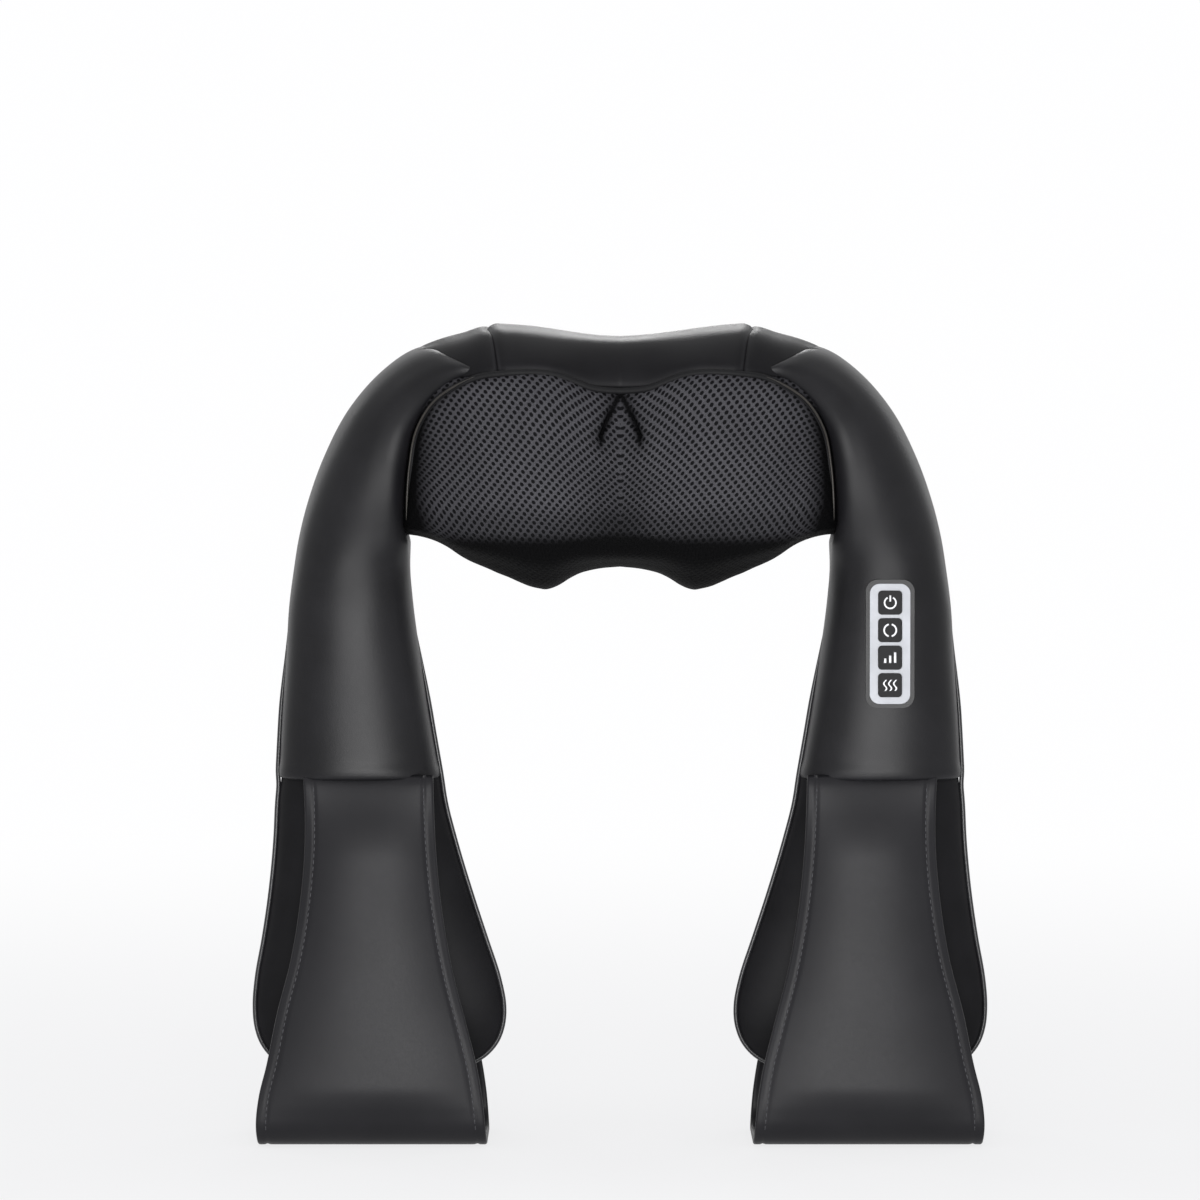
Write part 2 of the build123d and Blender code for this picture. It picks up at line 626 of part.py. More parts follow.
def screw(plane, head_at, length, radius=SCREW_RADIUS):
    """Pan head screw: the head lies below head_at and the shank above it."""
    head_radius = radius * SCREW_HEAD_RADIUS / SCREW_RADIUS
    return rod(plane, head_radius, head_at - SCREW_HEAD, head_at) + rod(plane, radius, head_at, head_at + length)


def case_screws():
    return [screw(axis, CASE_SPLIT_Z - 24, 33) for axis in boss_axes()]


# Kneading drive

def gear_places():
    """Distance from the apex and Y of the gearbox screws along one wing."""
    y = GEARBOX_HALF_DEPTH + GEARBOX_WALL + 1.6
    return [(along, DRIVE_Y + side * y) for along in (32.0, 68.0) for side in (-1, 1)]


def gearbox_screw_planes():
    planes = []
    for along, y in gear_places():
        for side in (-1, 1):
            origin = (side * along * COS_TILT, y, WORM_Z + along * SIN_TILT)
            planes.append(Plane(origin=origin, x_dir=(0, 1, 0), z_dir=(-side * SIN_TILT, 0, COS_TILT)))
    return planes


def motor_cup(radius, low_y, high_y):
    return rod(WORM_AXIS, radius, low_y, high_y)


def gearbox():
    low_y, high_y = DRIVE_Y - GEARBOX_HALF_DEPTH, DRIVE_Y + GEARBOX_HALF_DEPTH
    wall, inside = GEARBOX_WALL, GEARBOX_INSIDE
    base = wing(WING_REACH + wall, -inside - wall, inside, low_y - wall, high_y + wall)
    lugs = [rod(plane, 3.4, -inside - wall, inside) for plane in gearbox_screw_planes()]
    base = base + lugs - wing(WING_REACH, -inside, inside + 1, low_y, high_y)
    base += motor_cup(MOTOR_RADIUS + MOTOR_CUP_WALL, MOTOR_CUP_Y, MOTOR_CUP_Y + MOTOR_CUP)
    rib = rod(WORM_AXIS, 6.5, WORM_BUSH_Y - WORM_BUSH_LENGTH, WORM_BUSH_Y)
    web_back = DRIVE_Y - PILLAR_OFFSET + 6
    rib += slab(-5, 5, web_back - 11, WORM_BUSH_Y, WORM_Z - 11, WORM_Z)
    foot_y = DRIVE_Y + PILLAR_OFFSET
    rib += slab(-4, 4, foot_y - 4, foot_y + 4, WORM_Z - 11, WORM_Z - 5)
    base += rib
    for side in (-1, 1):
        base += rod(shaft_plane(side), BUSH_BOSS_RADIUS, -BUSH_START - BUSH_LENGTH, -inside)
    for side in (-1, 1):
        base -= rod(shaft_plane(side), BUSH_RADIUS, -HEAD_DROP, 0)
    base -= motor_cup(MOTOR_RADIUS, MOTOR_Y, SPREAD)
    base -= rod(WORM_AXIS, 4.5, WORM_BUSH_Y - WORM_BUSH_LENGTH - 1, MOTOR_Y + 1)
    base -= mount_screw_holes()
    for plane in gearbox_screw_planes():
        base -= rod(plane, SCREW_RADIUS, -5, inside + 1)

    cover = wing(WING_REACH + wall, inside, inside + wall, low_y - wall, high_y + wall)
    cover += [rod(plane, 3.4, inside, inside + wall) for plane in gearbox_screw_planes()]
    top = BUSH_START + TOP_BUSH_LENGTH
    for side in (-1, 1):
        cover += rod(shaft_plane(side), BUSH_BOSS_RADIUS, inside, top + 2)
        cover -= rod(shaft_plane(side), BUSH_RADIUS, 0, top)
    for x, y in board_posts():
        foot = wing_top(abs(x) - 3) - 0.2
        cover += rod(upright(x, y), 3.0, foot, MAIN_BOARD_Z)
        cover -= rod(upright(x, y), 1.1, MAIN_BOARD_Z - 8, MAIN_BOARD_Z + 1)
    cover -= motor_cup(MOTOR_RADIUS + MOTOR_CUP_WALL, MOTOR_CUP_Y, SPREAD)
    for plane in gearbox_screw_planes():
        cover -= rod(plane, SCREW_RADIUS + 0.2, inside - 1, inside + wall + 1)
    return {"gearbox_base": base, "gearbox_cover": cover}


def board_posts():
    half = MAIN_BOARD_DEPTH / 2 - 4
    return [(x, DRIVE_Y + y) for x in (-22, 22) for y in (-half, half)]


def gearbox_screws():
    screws = []
    for plane in gearbox_screw_planes():
        turned = Plane(origin=plane.origin, x_dir=plane.x_dir, z_dir=-plane.z_dir)
        screws.append(screw(turned, -GEARBOX_INSIDE - GEARBOX_WALL, 14))
    return screws + [screw(axis, MOUNT_HEAD_Z, 14) for axis in mount_axes()]


def bushes():
    parts = []
    for side in (-1, 1):
        plane = shaft_plane(side)
        bore = SHAFT_RADIUS + RUNNING_GAP
        parts.append(sleeve(plane, BUSH_RADIUS, bore, -BUSH_START - BUSH_LENGTH, -BUSH_START))
        parts.append(sleeve(plane, BUSH_RADIUS, bore, BUSH_START, BUSH_START + TOP_BUSH_LENGTH))
    bore = MOTOR_SHAFT_RADIUS + RUNNING_GAP
    parts.append(sleeve(WORM_AXIS, 4.5, bore, WORM_BUSH_Y - WORM_BUSH_LENGTH, WORM_BUSH_Y))
    return parts


def tooth_half_width(above_pitch):
    """Half width of a rack tooth at a height above its pitch line."""
    return (pi * MODULE / 2 - BACKLASH) / 2 - above_pitch * tan(radians(PRESSURE_ANGLE))


def worm_wheel(side):
    root, tip = WHEEL_RADIUS - 1.2 * MODULE, WHEEL_TIP_RADIUS
    points = []
    for tooth in range(WHEEL_TEETH):
        middle = 2 * pi * tooth / WHEEL_TEETH
        for radius, sign in ((root, -1), (tip, -1), (tip, 1), (root, 1)):
            angle = middle + sign * tooth_half_width(radius - WHEEL_RADIUS) / radius
            points.append((radius * cos(angle), radius * sin(angle)))
    twist = degrees(WHEEL_FACE * WORM_LEAD / (2 * pi * WORM_PITCH_RADIUS) / WHEEL_RADIUS)
    face = make_face(Polyline(*points, close=True)).face()
    rim = Solid.extrude_linear_with_rotation(face, (0, 0, 0), (0, 0, WHEEL_FACE), twist)
    pitch_angle = 360 / WHEEL_TEETH
    # The worm crest faces the left wheel in mid length, and the right one a part turn further on
    gap_angle = 0.0 if side < 0 else -pitch_angle * (180 - 2 * TILT) / 360
    turn = gap_angle + pitch_angle / 2 - twist / 2
    rim = shaft_plane(side) * Pos(0, 0, -WHEEL_FACE / 2) * Rot(0, 0, turn) * rim
    hub = rod(shaft_plane(side), WHEEL_HUB_RADIUS, -WHEEL_HUB / 2, WHEEL_HUB / 2)
    return rim + hub - rod(shaft_plane(side), SHAFT_RADIUS, -WHEEL_HUB, WHEEL_HUB)


def worm():
    crest = tooth_half_width(MODULE)
    root = tooth_half_width(-1.2 * MODULE)
    crest_angle = 2 * pi * crest / WORM_LEAD
    root_angle = 2 * pi * root / WORM_LEAD
    tip_radius, root_radius = WORM_TIP_RADIUS, WORM_PITCH_RADIUS - 1.2 * MODULE

    def at(radius, angle):
        return (radius * cos(angle), radius * sin(angle))

    def flank(angle_from, angle_to, radius_from, radius_to):
        steps = [step / 6 for step in range(7)]
        pairs = [(radius_from + t * (radius_to - radius_from), angle_from + t * (angle_to - angle_from)) for t in steps]
        return Spline(*[at(*pair) for pair in pairs])

    outline = [
        ThreePointArc(at(tip_radius, -crest_angle), at(tip_radius, 0), at(tip_radius, crest_angle)),
        flank(crest_angle, root_angle, tip_radius, root_radius),
        ThreePointArc(at(root_radius, root_angle), at(root_radius, pi), at(root_radius, 2 * pi - root_angle)),
        flank(2 * pi - root_angle, 2 * pi - crest_angle, root_radius, tip_radius),
    ]
    length = WORM_TURNS * WORM_LEAD
    face = make_face(outline).face()
    screw_body = Solid.extrude_linear_with_rotation(face, (0, 0, 0), (0, 0, length), 360 * WORM_TURNS)
    to_left_wheel = Plane(origin=(0, DRIVE_Y, WORM_Z), x_dir=(-COS_TILT, 0, SIN_TILT), z_dir=(0, 1, 0))
    screw_body = to_left_wheel * Pos(0, 0, -length / 2) * Rot(0, 0, -180 * WORM_TURNS) * screw_body
    return screw_body - rod(WORM_AXIS, MOTOR_SHAFT_RADIUS, -SPREAD, SPREAD)


# Massage rotors, left hand one; the right hand one is its mirror image

def head_places():
    """Local direction, head radius and drop of the four heads."""
    small_drop = HEAD_DROP - SMALL_HEAD_RISE
    return [
        (0, LARGE_HEAD_RADIUS, HEAD_DROP), (180, LARGE_HEAD_RADIUS, HEAD_DROP),
        (90, SMALL_HEAD_RADIUS, small_drop), (270, SMALL_HEAD_RADIUS, small_drop),
    ]


def carrier():
    body = Pos(0, 0, -CARRIER_LOW) * Cylinder(CARRIER_HUB_RADIUS, CARRIER_LOW - CARRIER_TOP, align=STANDING)
    for angle, radius, drop in head_places():
        arm_length = HEAD_CIRCLE + CARRIER_ARM_WIDTH / 2
        bar = extrude(Pos(arm_length / 2, 0) * RectangleRounded(arm_length, CARRIER_ARM_WIDTH, 5.0), CARRIER_THICKNESS)
        body += Rot(0, 0, angle) * Pos(0, 0, -CARRIER_LOW) * bar
        stalk = Cylinder(STALK_RADIUS, drop - CARRIER_LOW, align=STANDING)
        body += Rot(0, 0, angle) * Pos(HEAD_CIRCLE, 0, -drop) * stalk
    body -= Pos(0, 0, -CARRIER_LOW - 1) * Cylinder(SHAFT_RADIUS, SPREAD, align=STANDING)
    return LEFT_SHAFT * body


def heads(large):
    parts = []
    for angle, radius, drop in head_places():
        if (radius == LARGE_HEAD_RADIUS) is not large:
            continue
        neck = Cylinder(radius * HEAD_NECK, drop - CARRIER_LOW, align=STANDING)
        head = Sphere(radius) & Pos(0, 0, -radius) * Box(3 * radius, 3 * radius, 1.85 * radius, align=STANDING)
        head = head + neck - Cylinder(STALK_RADIUS, 3 * radius, align=STANDING)
        parts.append(LEFT_SHAFT * Rot(0, 0, angle) * Pos(HEAD_CIRCLE, 0, -drop) * head)
    return parts


def hub_screw():
    return screw(LEFT_SHAFT, -CARRIER_LOW, 10, 2.0)


def output_shaft():
    shaft = rod(LEFT_SHAFT, SHAFT_RADIUS, -CARRIER_LOW, BUSH_START + TOP_BUSH_LENGTH - SOFT_GAP)
    return shaft - rod(LEFT_SHAFT, 2.0, -CARRIER_LOW - 1, -CARRIER_LOW + 10)


# Motor

def motor():
    can_back = MOTOR_BACK_Y - MOTOR_END_CAP
    inner = MOTOR_RADIUS - MOTOR_WALL
    hole = MOTOR_SHAFT_RADIUS + 0.6
    can = rod(WORM_AXIS, MOTOR_RADIUS, MOTOR_Y, can_back) - rod(WORM_AXIS, inner, MOTOR_Y + MOTOR_WALL, SPREAD)
    magnet_front, magnet_back = MOTOR_Y + 3, can_back - 7
    magnets = sleeve(WORM_AXIS, inner, ARMATURE_RADIUS + 0.6, magnet_front, magnet_back)
    half = magnets & slab(3.5, SPREAD, -SPREAD, SPREAD, 0, HEIGHT)
    cap = sleeve(WORM_AXIS, MOTOR_RADIUS, hole, can_back, MOTOR_BACK_Y)
    cap += sleeve(WORM_AXIS, inner, inner - 1.5, can_back - 5, can_back)
    for x in (-5, 5):
        cap += slab(x - 1.5, x + 1.5, MOTOR_BACK_Y - 1, MOTOR_BACK_Y + 0.4, WORM_Z + 4, WORM_Z + 9)
    end = MOTOR_BACK_Y - 0.5
    shaft = rod(WORM_AXIS, MOTOR_SHAFT_RADIUS, WORM_BUSH_Y - WORM_BUSH_LENGTH + 0.5, end)
    armature = rod(WORM_AXIS, ARMATURE_RADIUS, MOTOR_Y + 4, can_back - 8) + rod(WORM_AXIS, 4, can_back - 8, can_back - 1.5)
    return {
        "motor_can": can - rod(WORM_AXIS, hole, 0, MOTOR_Y + 5),
        "motor_magnets": Compound([half, mirrored(half)]),
        "motor_end_cap": cap,
        "motor_shaft": shaft,
        "motor_armature": armature - rod(WORM_AXIS, MOTOR_SHAFT_RADIUS, 0, SPREAD),
    }


# Boards and leads

def boards():
    half_x, half_y = MAIN_BOARD_WIDTH / 2, MAIN_BOARD_DEPTH / 2
    main = slab(-half_x, half_x, DRIVE_Y - half_y, DRIVE_Y + half_y, MAIN_BOARD_Z, MAIN_BOARD_Z + BOARD)
    screws = []
    for x, y in board_posts():
        main -= rod(upright(x, y), 1.2, 0, HEIGHT)
        down = Plane(origin=(x, y, MAIN_BOARD_Z + BOARD), x_dir=(1, 0, 0), z_dir=(0, 0, -1))
        screws.append(screw(down, 0, 7, 1.1))
    top = MAIN_BOARD_Z + BOARD
    motor_end_y = DRIVE_Y + half_y - 8
    lead_x = MAIN_BOARD_WIDTH / 2 - 8
    items = [
        slab(-9, 9, motor_end_y - 3, motor_end_y + 3, top, top + 4),
        slab(lead_x - 4, lead_x + 4, 4, 12, top, top + 5),
        rod(upright(-14, DRIVE_Y - 12), 4.0, top, top + 11),
        rod(upright(-2, DRIVE_Y - 18), 3.1, top, top + 8),
        slab(-26, -16, DRIVE_Y + 4, DRIVE_Y + 12, top, top + 1.8),
        slab(4, 12, DRIVE_Y - 10, DRIVE_Y - 2, top, top + 1.8),
    ]
    heater_top = FLOOR_Z - HEATER_SPACER
    heater = slab(
        -HEATER_WIDTH / 2, HEATER_WIDTH / 2, DRIVE_Y - HEATER_LENGTH / 2, DRIVE_Y + HEATER_LENGTH / 2,
        heater_top - BOARD, heater_top,
    )
    lamps = []
    for step in (-1.5, -0.5, 0.5, 1.5):
        y = DRIVE_Y + step * HEATER_LENGTH / 4.2
        lamp = rod(upright(0, y), LAMP_RADIUS, heater_top - BOARD - 4, heater_top - BOARD)
        dome = Pos(0, y, heater_top - BOARD - 4) * Sphere(LAMP_RADIUS)
        lamps.append(lamp + dome)
    return {
        "main_board": main,
        "main_board_components": Compound(items),
        "main_board_screws": Compound(screws),
        "heater_board": heater,
        "heater_lamps": Compound(lamps),
    }


def leads():
    return {
        "panel_leads": Compound([lead(panel_lead_route(), LEAD_RADIUS), lead(inlet_lead_route(), LEAD_RADIUS)]),
        "motor_leads": Compound([lead(motor_lead_route(side), MOTOR_LEAD_RADIUS) for side in (-1, 1)]),
    }


# Control panel and power inlet

def panel_block(low_y, high_y, grow=0.0):
    return plate(
        PANEL_WIDTH + 2 * grow, PANEL_HEIGHT + 2 * grow, PANEL_CORNER + grow, low_y, high_y, PANEL_X, PANEL_Z,
    )


def button_heights():
    return [PANEL_Z + BUTTON_PITCH * step for step in (1.5, 0.5, -0.5, -1.5)]


def panel():
    inner_w, inner_h, inner_r = PANEL_WIDTH - 2 * PANEL_RIM, PANEL_HEIGHT - 2 * PANEL_RIM, PANEL_CORNER - PANEL_RIM / 2
    front = PANEL_FRONT_Y
    gap = 0.15
    seat = PLATE_BACK_Y
    tray = panel_block(front, PANEL_BACK_Y)
    tray -= plate(inner_w + 2 * gap, inner_h + 2 * gap, inner_r, front - 1, seat, PANEL_X, PANEL_Z)
    tray -= plate(inner_w - 2.4, inner_h - 2.4, inner_r - 1.5, seat - 1, PANEL_BACK_Y - 1.5, PANEL_X, PANEL_Z)
    for z in (PANEL_Z - 22.5, PANEL_Z, PANEL_Z + 22.5):
        tray += rod(along_y(PANEL_X, z), 2.0, KEY_BOARD_Y + 1.2, PANEL_BACK_Y - 1.0)
    faceplate = plate(inner_w, inner_h, inner_r, front + 0.2, seat, PANEL_X, PANEL_Z)
    board = plate(inner_w - 3.2, inner_h - 3.2, inner_r - 1.6, KEY_BOARD_Y, KEY_BOARD_Y + 1.2, PANEL_X, PANEL_Z)
    switches = []
    nodes = {}
    for name, z in zip(BUTTON_NAMES, button_heights()):
        size, corner = BUTTON_SIZE, BUTTON_CORNER
        faceplate -= plate(size + 0.4, size + 0.4, corner + 0.2, front - 1, seat + 1, PANEL_X, z)
        key = plate(size, size, corner, front - BUTTON_PROUD, FLANGE_BACK_Y, PANEL_X, z)
        key += plate(size + 3, size + 1.6, corner, FLANGE_BACK_Y - BUTTON_FLANGE, FLANGE_BACK_Y, PANEL_X, z)
        nodes[name] = key + rod(along_y(PANEL_X, z), 2.4, FLANGE_BACK_Y, STEM_BACK_Y)
        half = SWITCH_SIZE / 2
        body = slab(PANEL_X - half, PANEL_X + half, KEY_BOARD_Y - SWITCH_HEIGHT + 1, KEY_BOARD_Y, z - half, z + half)
        switches.append(body + rod(along_y(PANEL_X, z), 1.7, KEY_BOARD_Y - SWITCH_HEIGHT, KEY_BOARD_Y))
    nodes.update({
        "panel_tray": tray, "panel_plate": faceplate, "key_board": board, "key_switches": Compound(switches),
    })
    return nodes


def inlet():
    axis = along_y(INLET_X, INLET_Z)
    face = INLET_Y + INLET_FLANGE
    socket = rod(axis, INLET_BODY_RADIUS, face - INLET_DEPTH, face)
    socket += rod(axis, INLET_FLANGE_RADIUS, INLET_Y, face)
    socket -= rod(axis, INLET_BORE_RADIUS, face - INLET_BORE_DEPTH, face + 1)
    root = rod(axis, INLET_ROOT_RADIUS, face - INLET_BORE_DEPTH - INLET_ROOT, face - INLET_BORE_DEPTH)
    pin = rod(axis, INLET_PIN_RADIUS, face - INLET_BORE_DEPTH, face - 1.0) + root
    return {"power_inlet": socket - root, "power_inlet_pin": pin}


def build():
    nodes = {}
    nodes.update(covers())
    nodes["crown_foam"] = crown_foam()
    nodes.update(arm_parts())
    nodes["right_hand_strap"] = strap()
    nodes["left_hand_strap"] = mirrored(strap())
    nodes.update(cases())
    nodes["case_screws"] = Compound(case_screws())
    nodes.update(gearbox())
    nodes["gearbox_screws"] = Compound(gearbox_screws())
    nodes["shaft_bushes"] = Compound(bushes())
    nodes["worm"] = worm()
    for side, name in ((-1, "left"), (1, "right")):
        nodes[f"{name}_worm_wheel"] = worm_wheel(side)
        nodes[f"{name}_output_shaft"] = mirrored(output_shaft()) if side > 0 else output_shaft()
        nodes[f"{name}_head_carrier"] = mirrored(carrier()) if side > 0 else carrier()
        for size, large in (("large", True), ("small", False)):
            group = [mirrored(head) if side > 0 else head for head in heads(large)]
            nodes[f"{name}_{size}_heads"] = Compound(group)
        nodes[f"{name}_hub_screw"] = mirrored(hub_screw()) if side > 0 else hub_screw()
    nodes.update(motor())
    nodes.update(boards())
    nodes.update(leads())
    nodes.update(panel())
    nodes.update(inlet())
    return nodes


os.makedirs("parts", exist_ok=True)
for name, shape in build().items():
    export_step(Compound(shape.solids()), f"parts/{name}.step")
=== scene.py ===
"""Looks of the shiatsu neck massager: leather skins, mesh lobes, pads, piping, straps and finishes around its frame.

Metres throughout. +X to the arm with the control panel, -Y to the side that faces the neck, floor at Z = 0.
Tables of the soft shapes are written in millimetres and scaled once by MM.
"""

import bmesh
import bpy
import numpy as np
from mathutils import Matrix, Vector


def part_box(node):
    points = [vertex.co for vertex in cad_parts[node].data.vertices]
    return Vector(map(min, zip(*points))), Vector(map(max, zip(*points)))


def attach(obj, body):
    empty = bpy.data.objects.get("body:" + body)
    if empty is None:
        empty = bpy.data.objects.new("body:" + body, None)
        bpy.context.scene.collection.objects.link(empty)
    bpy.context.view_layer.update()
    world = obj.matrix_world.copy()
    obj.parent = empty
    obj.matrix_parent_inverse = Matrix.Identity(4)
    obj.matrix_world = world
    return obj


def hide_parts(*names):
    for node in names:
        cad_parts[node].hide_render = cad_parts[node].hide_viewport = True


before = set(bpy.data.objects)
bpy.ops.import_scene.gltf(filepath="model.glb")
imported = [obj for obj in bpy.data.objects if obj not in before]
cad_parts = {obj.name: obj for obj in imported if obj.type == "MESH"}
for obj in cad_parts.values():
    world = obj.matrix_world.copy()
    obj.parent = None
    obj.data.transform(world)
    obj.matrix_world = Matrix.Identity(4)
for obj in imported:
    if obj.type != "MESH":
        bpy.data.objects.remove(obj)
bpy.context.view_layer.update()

MM = 0.001
ROOT = "massager"


# Camera

AIM = Vector((-0.011, 0.0, 0.297))
CAMERA_AWAY = 3.0
CAMERA_RISE = np.radians(2.0)
FRAMED_WIDTH = 0.66
SENSOR = 36.0


def camera():
    """Camera a little above AIM, whose lens lets a width of FRAMED_WIDTH at AIM fill the frame."""
    data = bpy.data.cameras.new("camera")
    data.sensor_width = SENSOR
    data.lens = SENSOR * CAMERA_AWAY / FRAMED_WIDTH
    piece = bpy.data.objects.new("camera", data)
    bpy.context.scene.collection.objects.link(piece)
    piece.location = AIM + CAMERA_AWAY * Vector((0.0, -np.cos(CAMERA_RISE), np.sin(CAMERA_RISE)))
    piece.rotation_euler = (AIM - piece.location).to_track_quat("-Z", "Y").to_euler()
    bpy.context.scene.camera = piece


camera()


# Curves and surfaces

def smooth(knots, values, at, by_row=False):
    """Cubic through the knots whose slope at a knot is the parabola's slope through it and its two neighbours.

    Where by_row is set, values[knot, row] differs from row to row and row k is read at at[k].
    """
    knots, values, at = np.asarray(knots, float), np.asarray(values, float), np.asarray(at, float)
    run = np.diff(knots)
    wide = run.reshape((-1,) + (1,) * (values.ndim - 1))
    rise = np.diff(values, axis=0) / wide
    slope = np.empty_like(values)
    slope[1:-1] = (rise[:-1] * wide[1:] + rise[1:] * wide[:-1]) / (wide[:-1] + wide[1:])
    slope[0], slope[-1] = rise[0], rise[-1]
    place = np.clip(np.searchsorted(knots, at, side="right") - 1, 0, len(run) - 1)
    shape = at.shape + (1,) * (values.ndim - 1 - by_row)
    step = run[place].reshape(shape)
    t = ((at - knots[place]) / run[place]).reshape(shape)
    row = np.arange(len(at)) if by_row else None
    here, ahead = ((place, row), (place + 1, row)) if by_row else (place, place + 1)
    bend = t * t * (3 - 2 * t)
    leave, arrive = slope[here] * step, slope[ahead] * step
    return values[here] + (values[ahead] - values[here]) * bend + leave * t * (1 - t) ** 2 - arrive * t * t * (1 - t)


def near(distance, width):
    """1 on a line, falling off as a bell curve of the given width."""
    return np.exp(-(np.asarray(distance) / width) ** 2)


def ramp(value, low, high):
    """0 below low, 1 above high, eased in between."""
    t = np.clip((value - low) / (high - low), 0, 1)
    return t * t * (3 - 2 * t)


def unit(vectors):
    """Vectors divided by their lengths."""
    return vectors / np.maximum(np.linalg.norm(vectors, axis=-1, keepdims=True), 1e-12)


def outward(grid, around=False):
    """Unit normals of a grid: the cross product of its differences along rows and along columns."""
    if around:
        wide = np.concatenate([grid[:, -1:], grid, grid[:, :1]], axis=1)
        along_columns = wide[:, 2:] - wide[:, :-2]
    else:
        along_columns = np.gradient(grid, axis=1)
    return unit(np.cross(along_columns, np.gradient(grid, axis=0)))


def lengths(points):
    """Running length along a path, or down the rows of a grid averaged over its columns."""
    steps = np.linalg.norm(np.diff(points, axis=0), axis=-1)
    return np.concatenate([[0.0], np.cumsum(steps if steps.ndim == 1 else steps.mean(axis=1))])


def ripples(points, scale, seed, count=6):
    """Sum of plane waves in seeded directions: soft undulation between -1 and 1 with features about scale long."""
    draw = np.random.default_rng(seed)
    waves = draw.normal(size=(count, 3))
    waves *= (2 * np.pi / scale) / np.linalg.norm(waves, axis=1, keepdims=True) * draw.uniform(0.6, 1.3, (count, 1))
    phase = draw.uniform(0, 2 * np.pi, count)
    return np.sin(points @ waves.T + phase).sum(axis=-1) / count


def quads_of(number):
    """Corner numbers of the quads between neighbours in a table of point numbers."""
    return np.stack([number[:-1, :-1], number[:-1, 1:], number[1:, 1:], number[1:, :-1]], axis=-1).reshape(-1, 4)


def corners_of(rows, columns, around=False):
    """Corner numbers of a grid's quads, and those of its flat map, one column wider where the grid goes around."""
    number = np.arange(rows * columns).reshape(rows, columns)
    if not around:
        return quads_of(number), quads_of(number)
    flat = np.arange(rows * (columns + 1)).reshape(rows, columns + 1)
    return quads_of(number[:, np.arange(columns + 1) % columns]), quads_of(flat)


def skin(name, grid, finish, around=False, outside_of=None, cloth=None, marks=None, wall=0.0):
    """Quads between neighbouring points of a grid. cloth is a flat map in metres, marks are values on the points.

    A grid that goes around is closed. Any other faces away from the point outside_of.
    """
    rows, columns = grid.shape[:2]
    quads, flat = corners_of(rows, columns, around)
    points = grid.reshape(-1, 3)
    if outside_of is not None:
        a, b, c = points[quads[:, 0]], points[quads[:, 1]], points[quads[:, 2]]
        facing = (np.cross(b - a, c - a) * (a - np.asarray(outside_of))).sum()
        if facing < 0:
            quads, flat = quads[:, ::-1], flat[:, ::-1]
    mesh = bpy.data.meshes.new(name)
    mesh.from_pydata(points.tolist(), [], quads.tolist())
    if cloth is not None:
        layer = mesh.uv_layers.new(name="cloth")
        layer.data.foreach_set("uv", cloth.reshape(-1, 2)[flat.reshape(-1)].reshape(-1))
    for label, values in (marks or {}).items():
        mesh.attributes.new(label, "FLOAT", "POINT").data.foreach_set("value", values.reshape(-1))
    return settled(name, mesh, finish, around, wall)


SAME_POINT = 2e-6


def settled(name, mesh, finish, closed=False, wall=0.0):
    """Object of a mesh with its doubled points merged, smooth faces, its finish and the wall behind its faces."""
    shape = bmesh.new()
    shape.from_mesh(mesh)
    bmesh.ops.remove_doubles(shape, verts=shape.verts, dist=SAME_POINT)
    if closed:
        bmesh.ops.recalc_face_normals(shape, faces=shape.faces)
    shape.to_mesh(mesh)
    shape.free()
    mesh.shade_smooth()
    piece = bpy.data.objects.new(name, mesh)
    bpy.context.scene.collection.objects.link(piece)
    mesh.materials.append(finish)
    if wall:
        thick = piece.modifiers.new("wall", "SOLIDIFY")
        thick.thickness = wall
        thick.offset = -1.0
    return piece


def capped(grid):
    """The grid with two rows added at each end: the end row at half size about its middle, then at none."""
    ends = grid[[0, -1]]
    middle = ends.mean(axis=1, keepdims=True) + 0 * ends
    half = middle + (ends - middle) * 0.5
    return np.concatenate([middle[:1], half[:1], grid, half[1:], middle[1:]])


def held(values):
    """Values of a grid's rows, with both end rows repeated for the rows that capped adds."""
    return np.pad(values, [(2, 2)] + [(0, 0)] * (values.ndim - 1), "edge")


def tube(path, radius, sides=10, flat=1.0):
    """Grid around a path: circles of a radius across its tangent, squashed by flat in depth."""
    tangent = unit(np.gradient(path, axis=0))
    side = unit(np.cross(tangent, [0.0, 1.0, 0.0]))
    up = np.cross(side, tangent)
    angle = np.linspace(0, 2 * np.pi, sides, endpoint=False)
    radius = np.broadcast_to(radius, len(path))[:, None, None]
    ring = side[:, None] * np.cos(angle)[:, None] + up[:, None] * flat * np.sin(angle)[:, None]
    return path[:, None] + ring * radius


def read_off(at, along, values):
    """Values that are known at running lengths along a path, read at other lengths."""
    return np.stack([np.interp(at, along, column) for column in values.T], axis=1)


def evenly(path, pitch):
    """Points of a path at an even spacing along it."""
    along = lengths(path)
    count = max(int(round(along[-1] / pitch)), 2)
    return read_off(np.linspace(0, along[-1], count + 1), along, path)


# Each side's grids are the right one's times this
SIDES = {"left": np.array([-1.0, 1.0, 1.0]), "right": np.ones(3)}


# Finishes

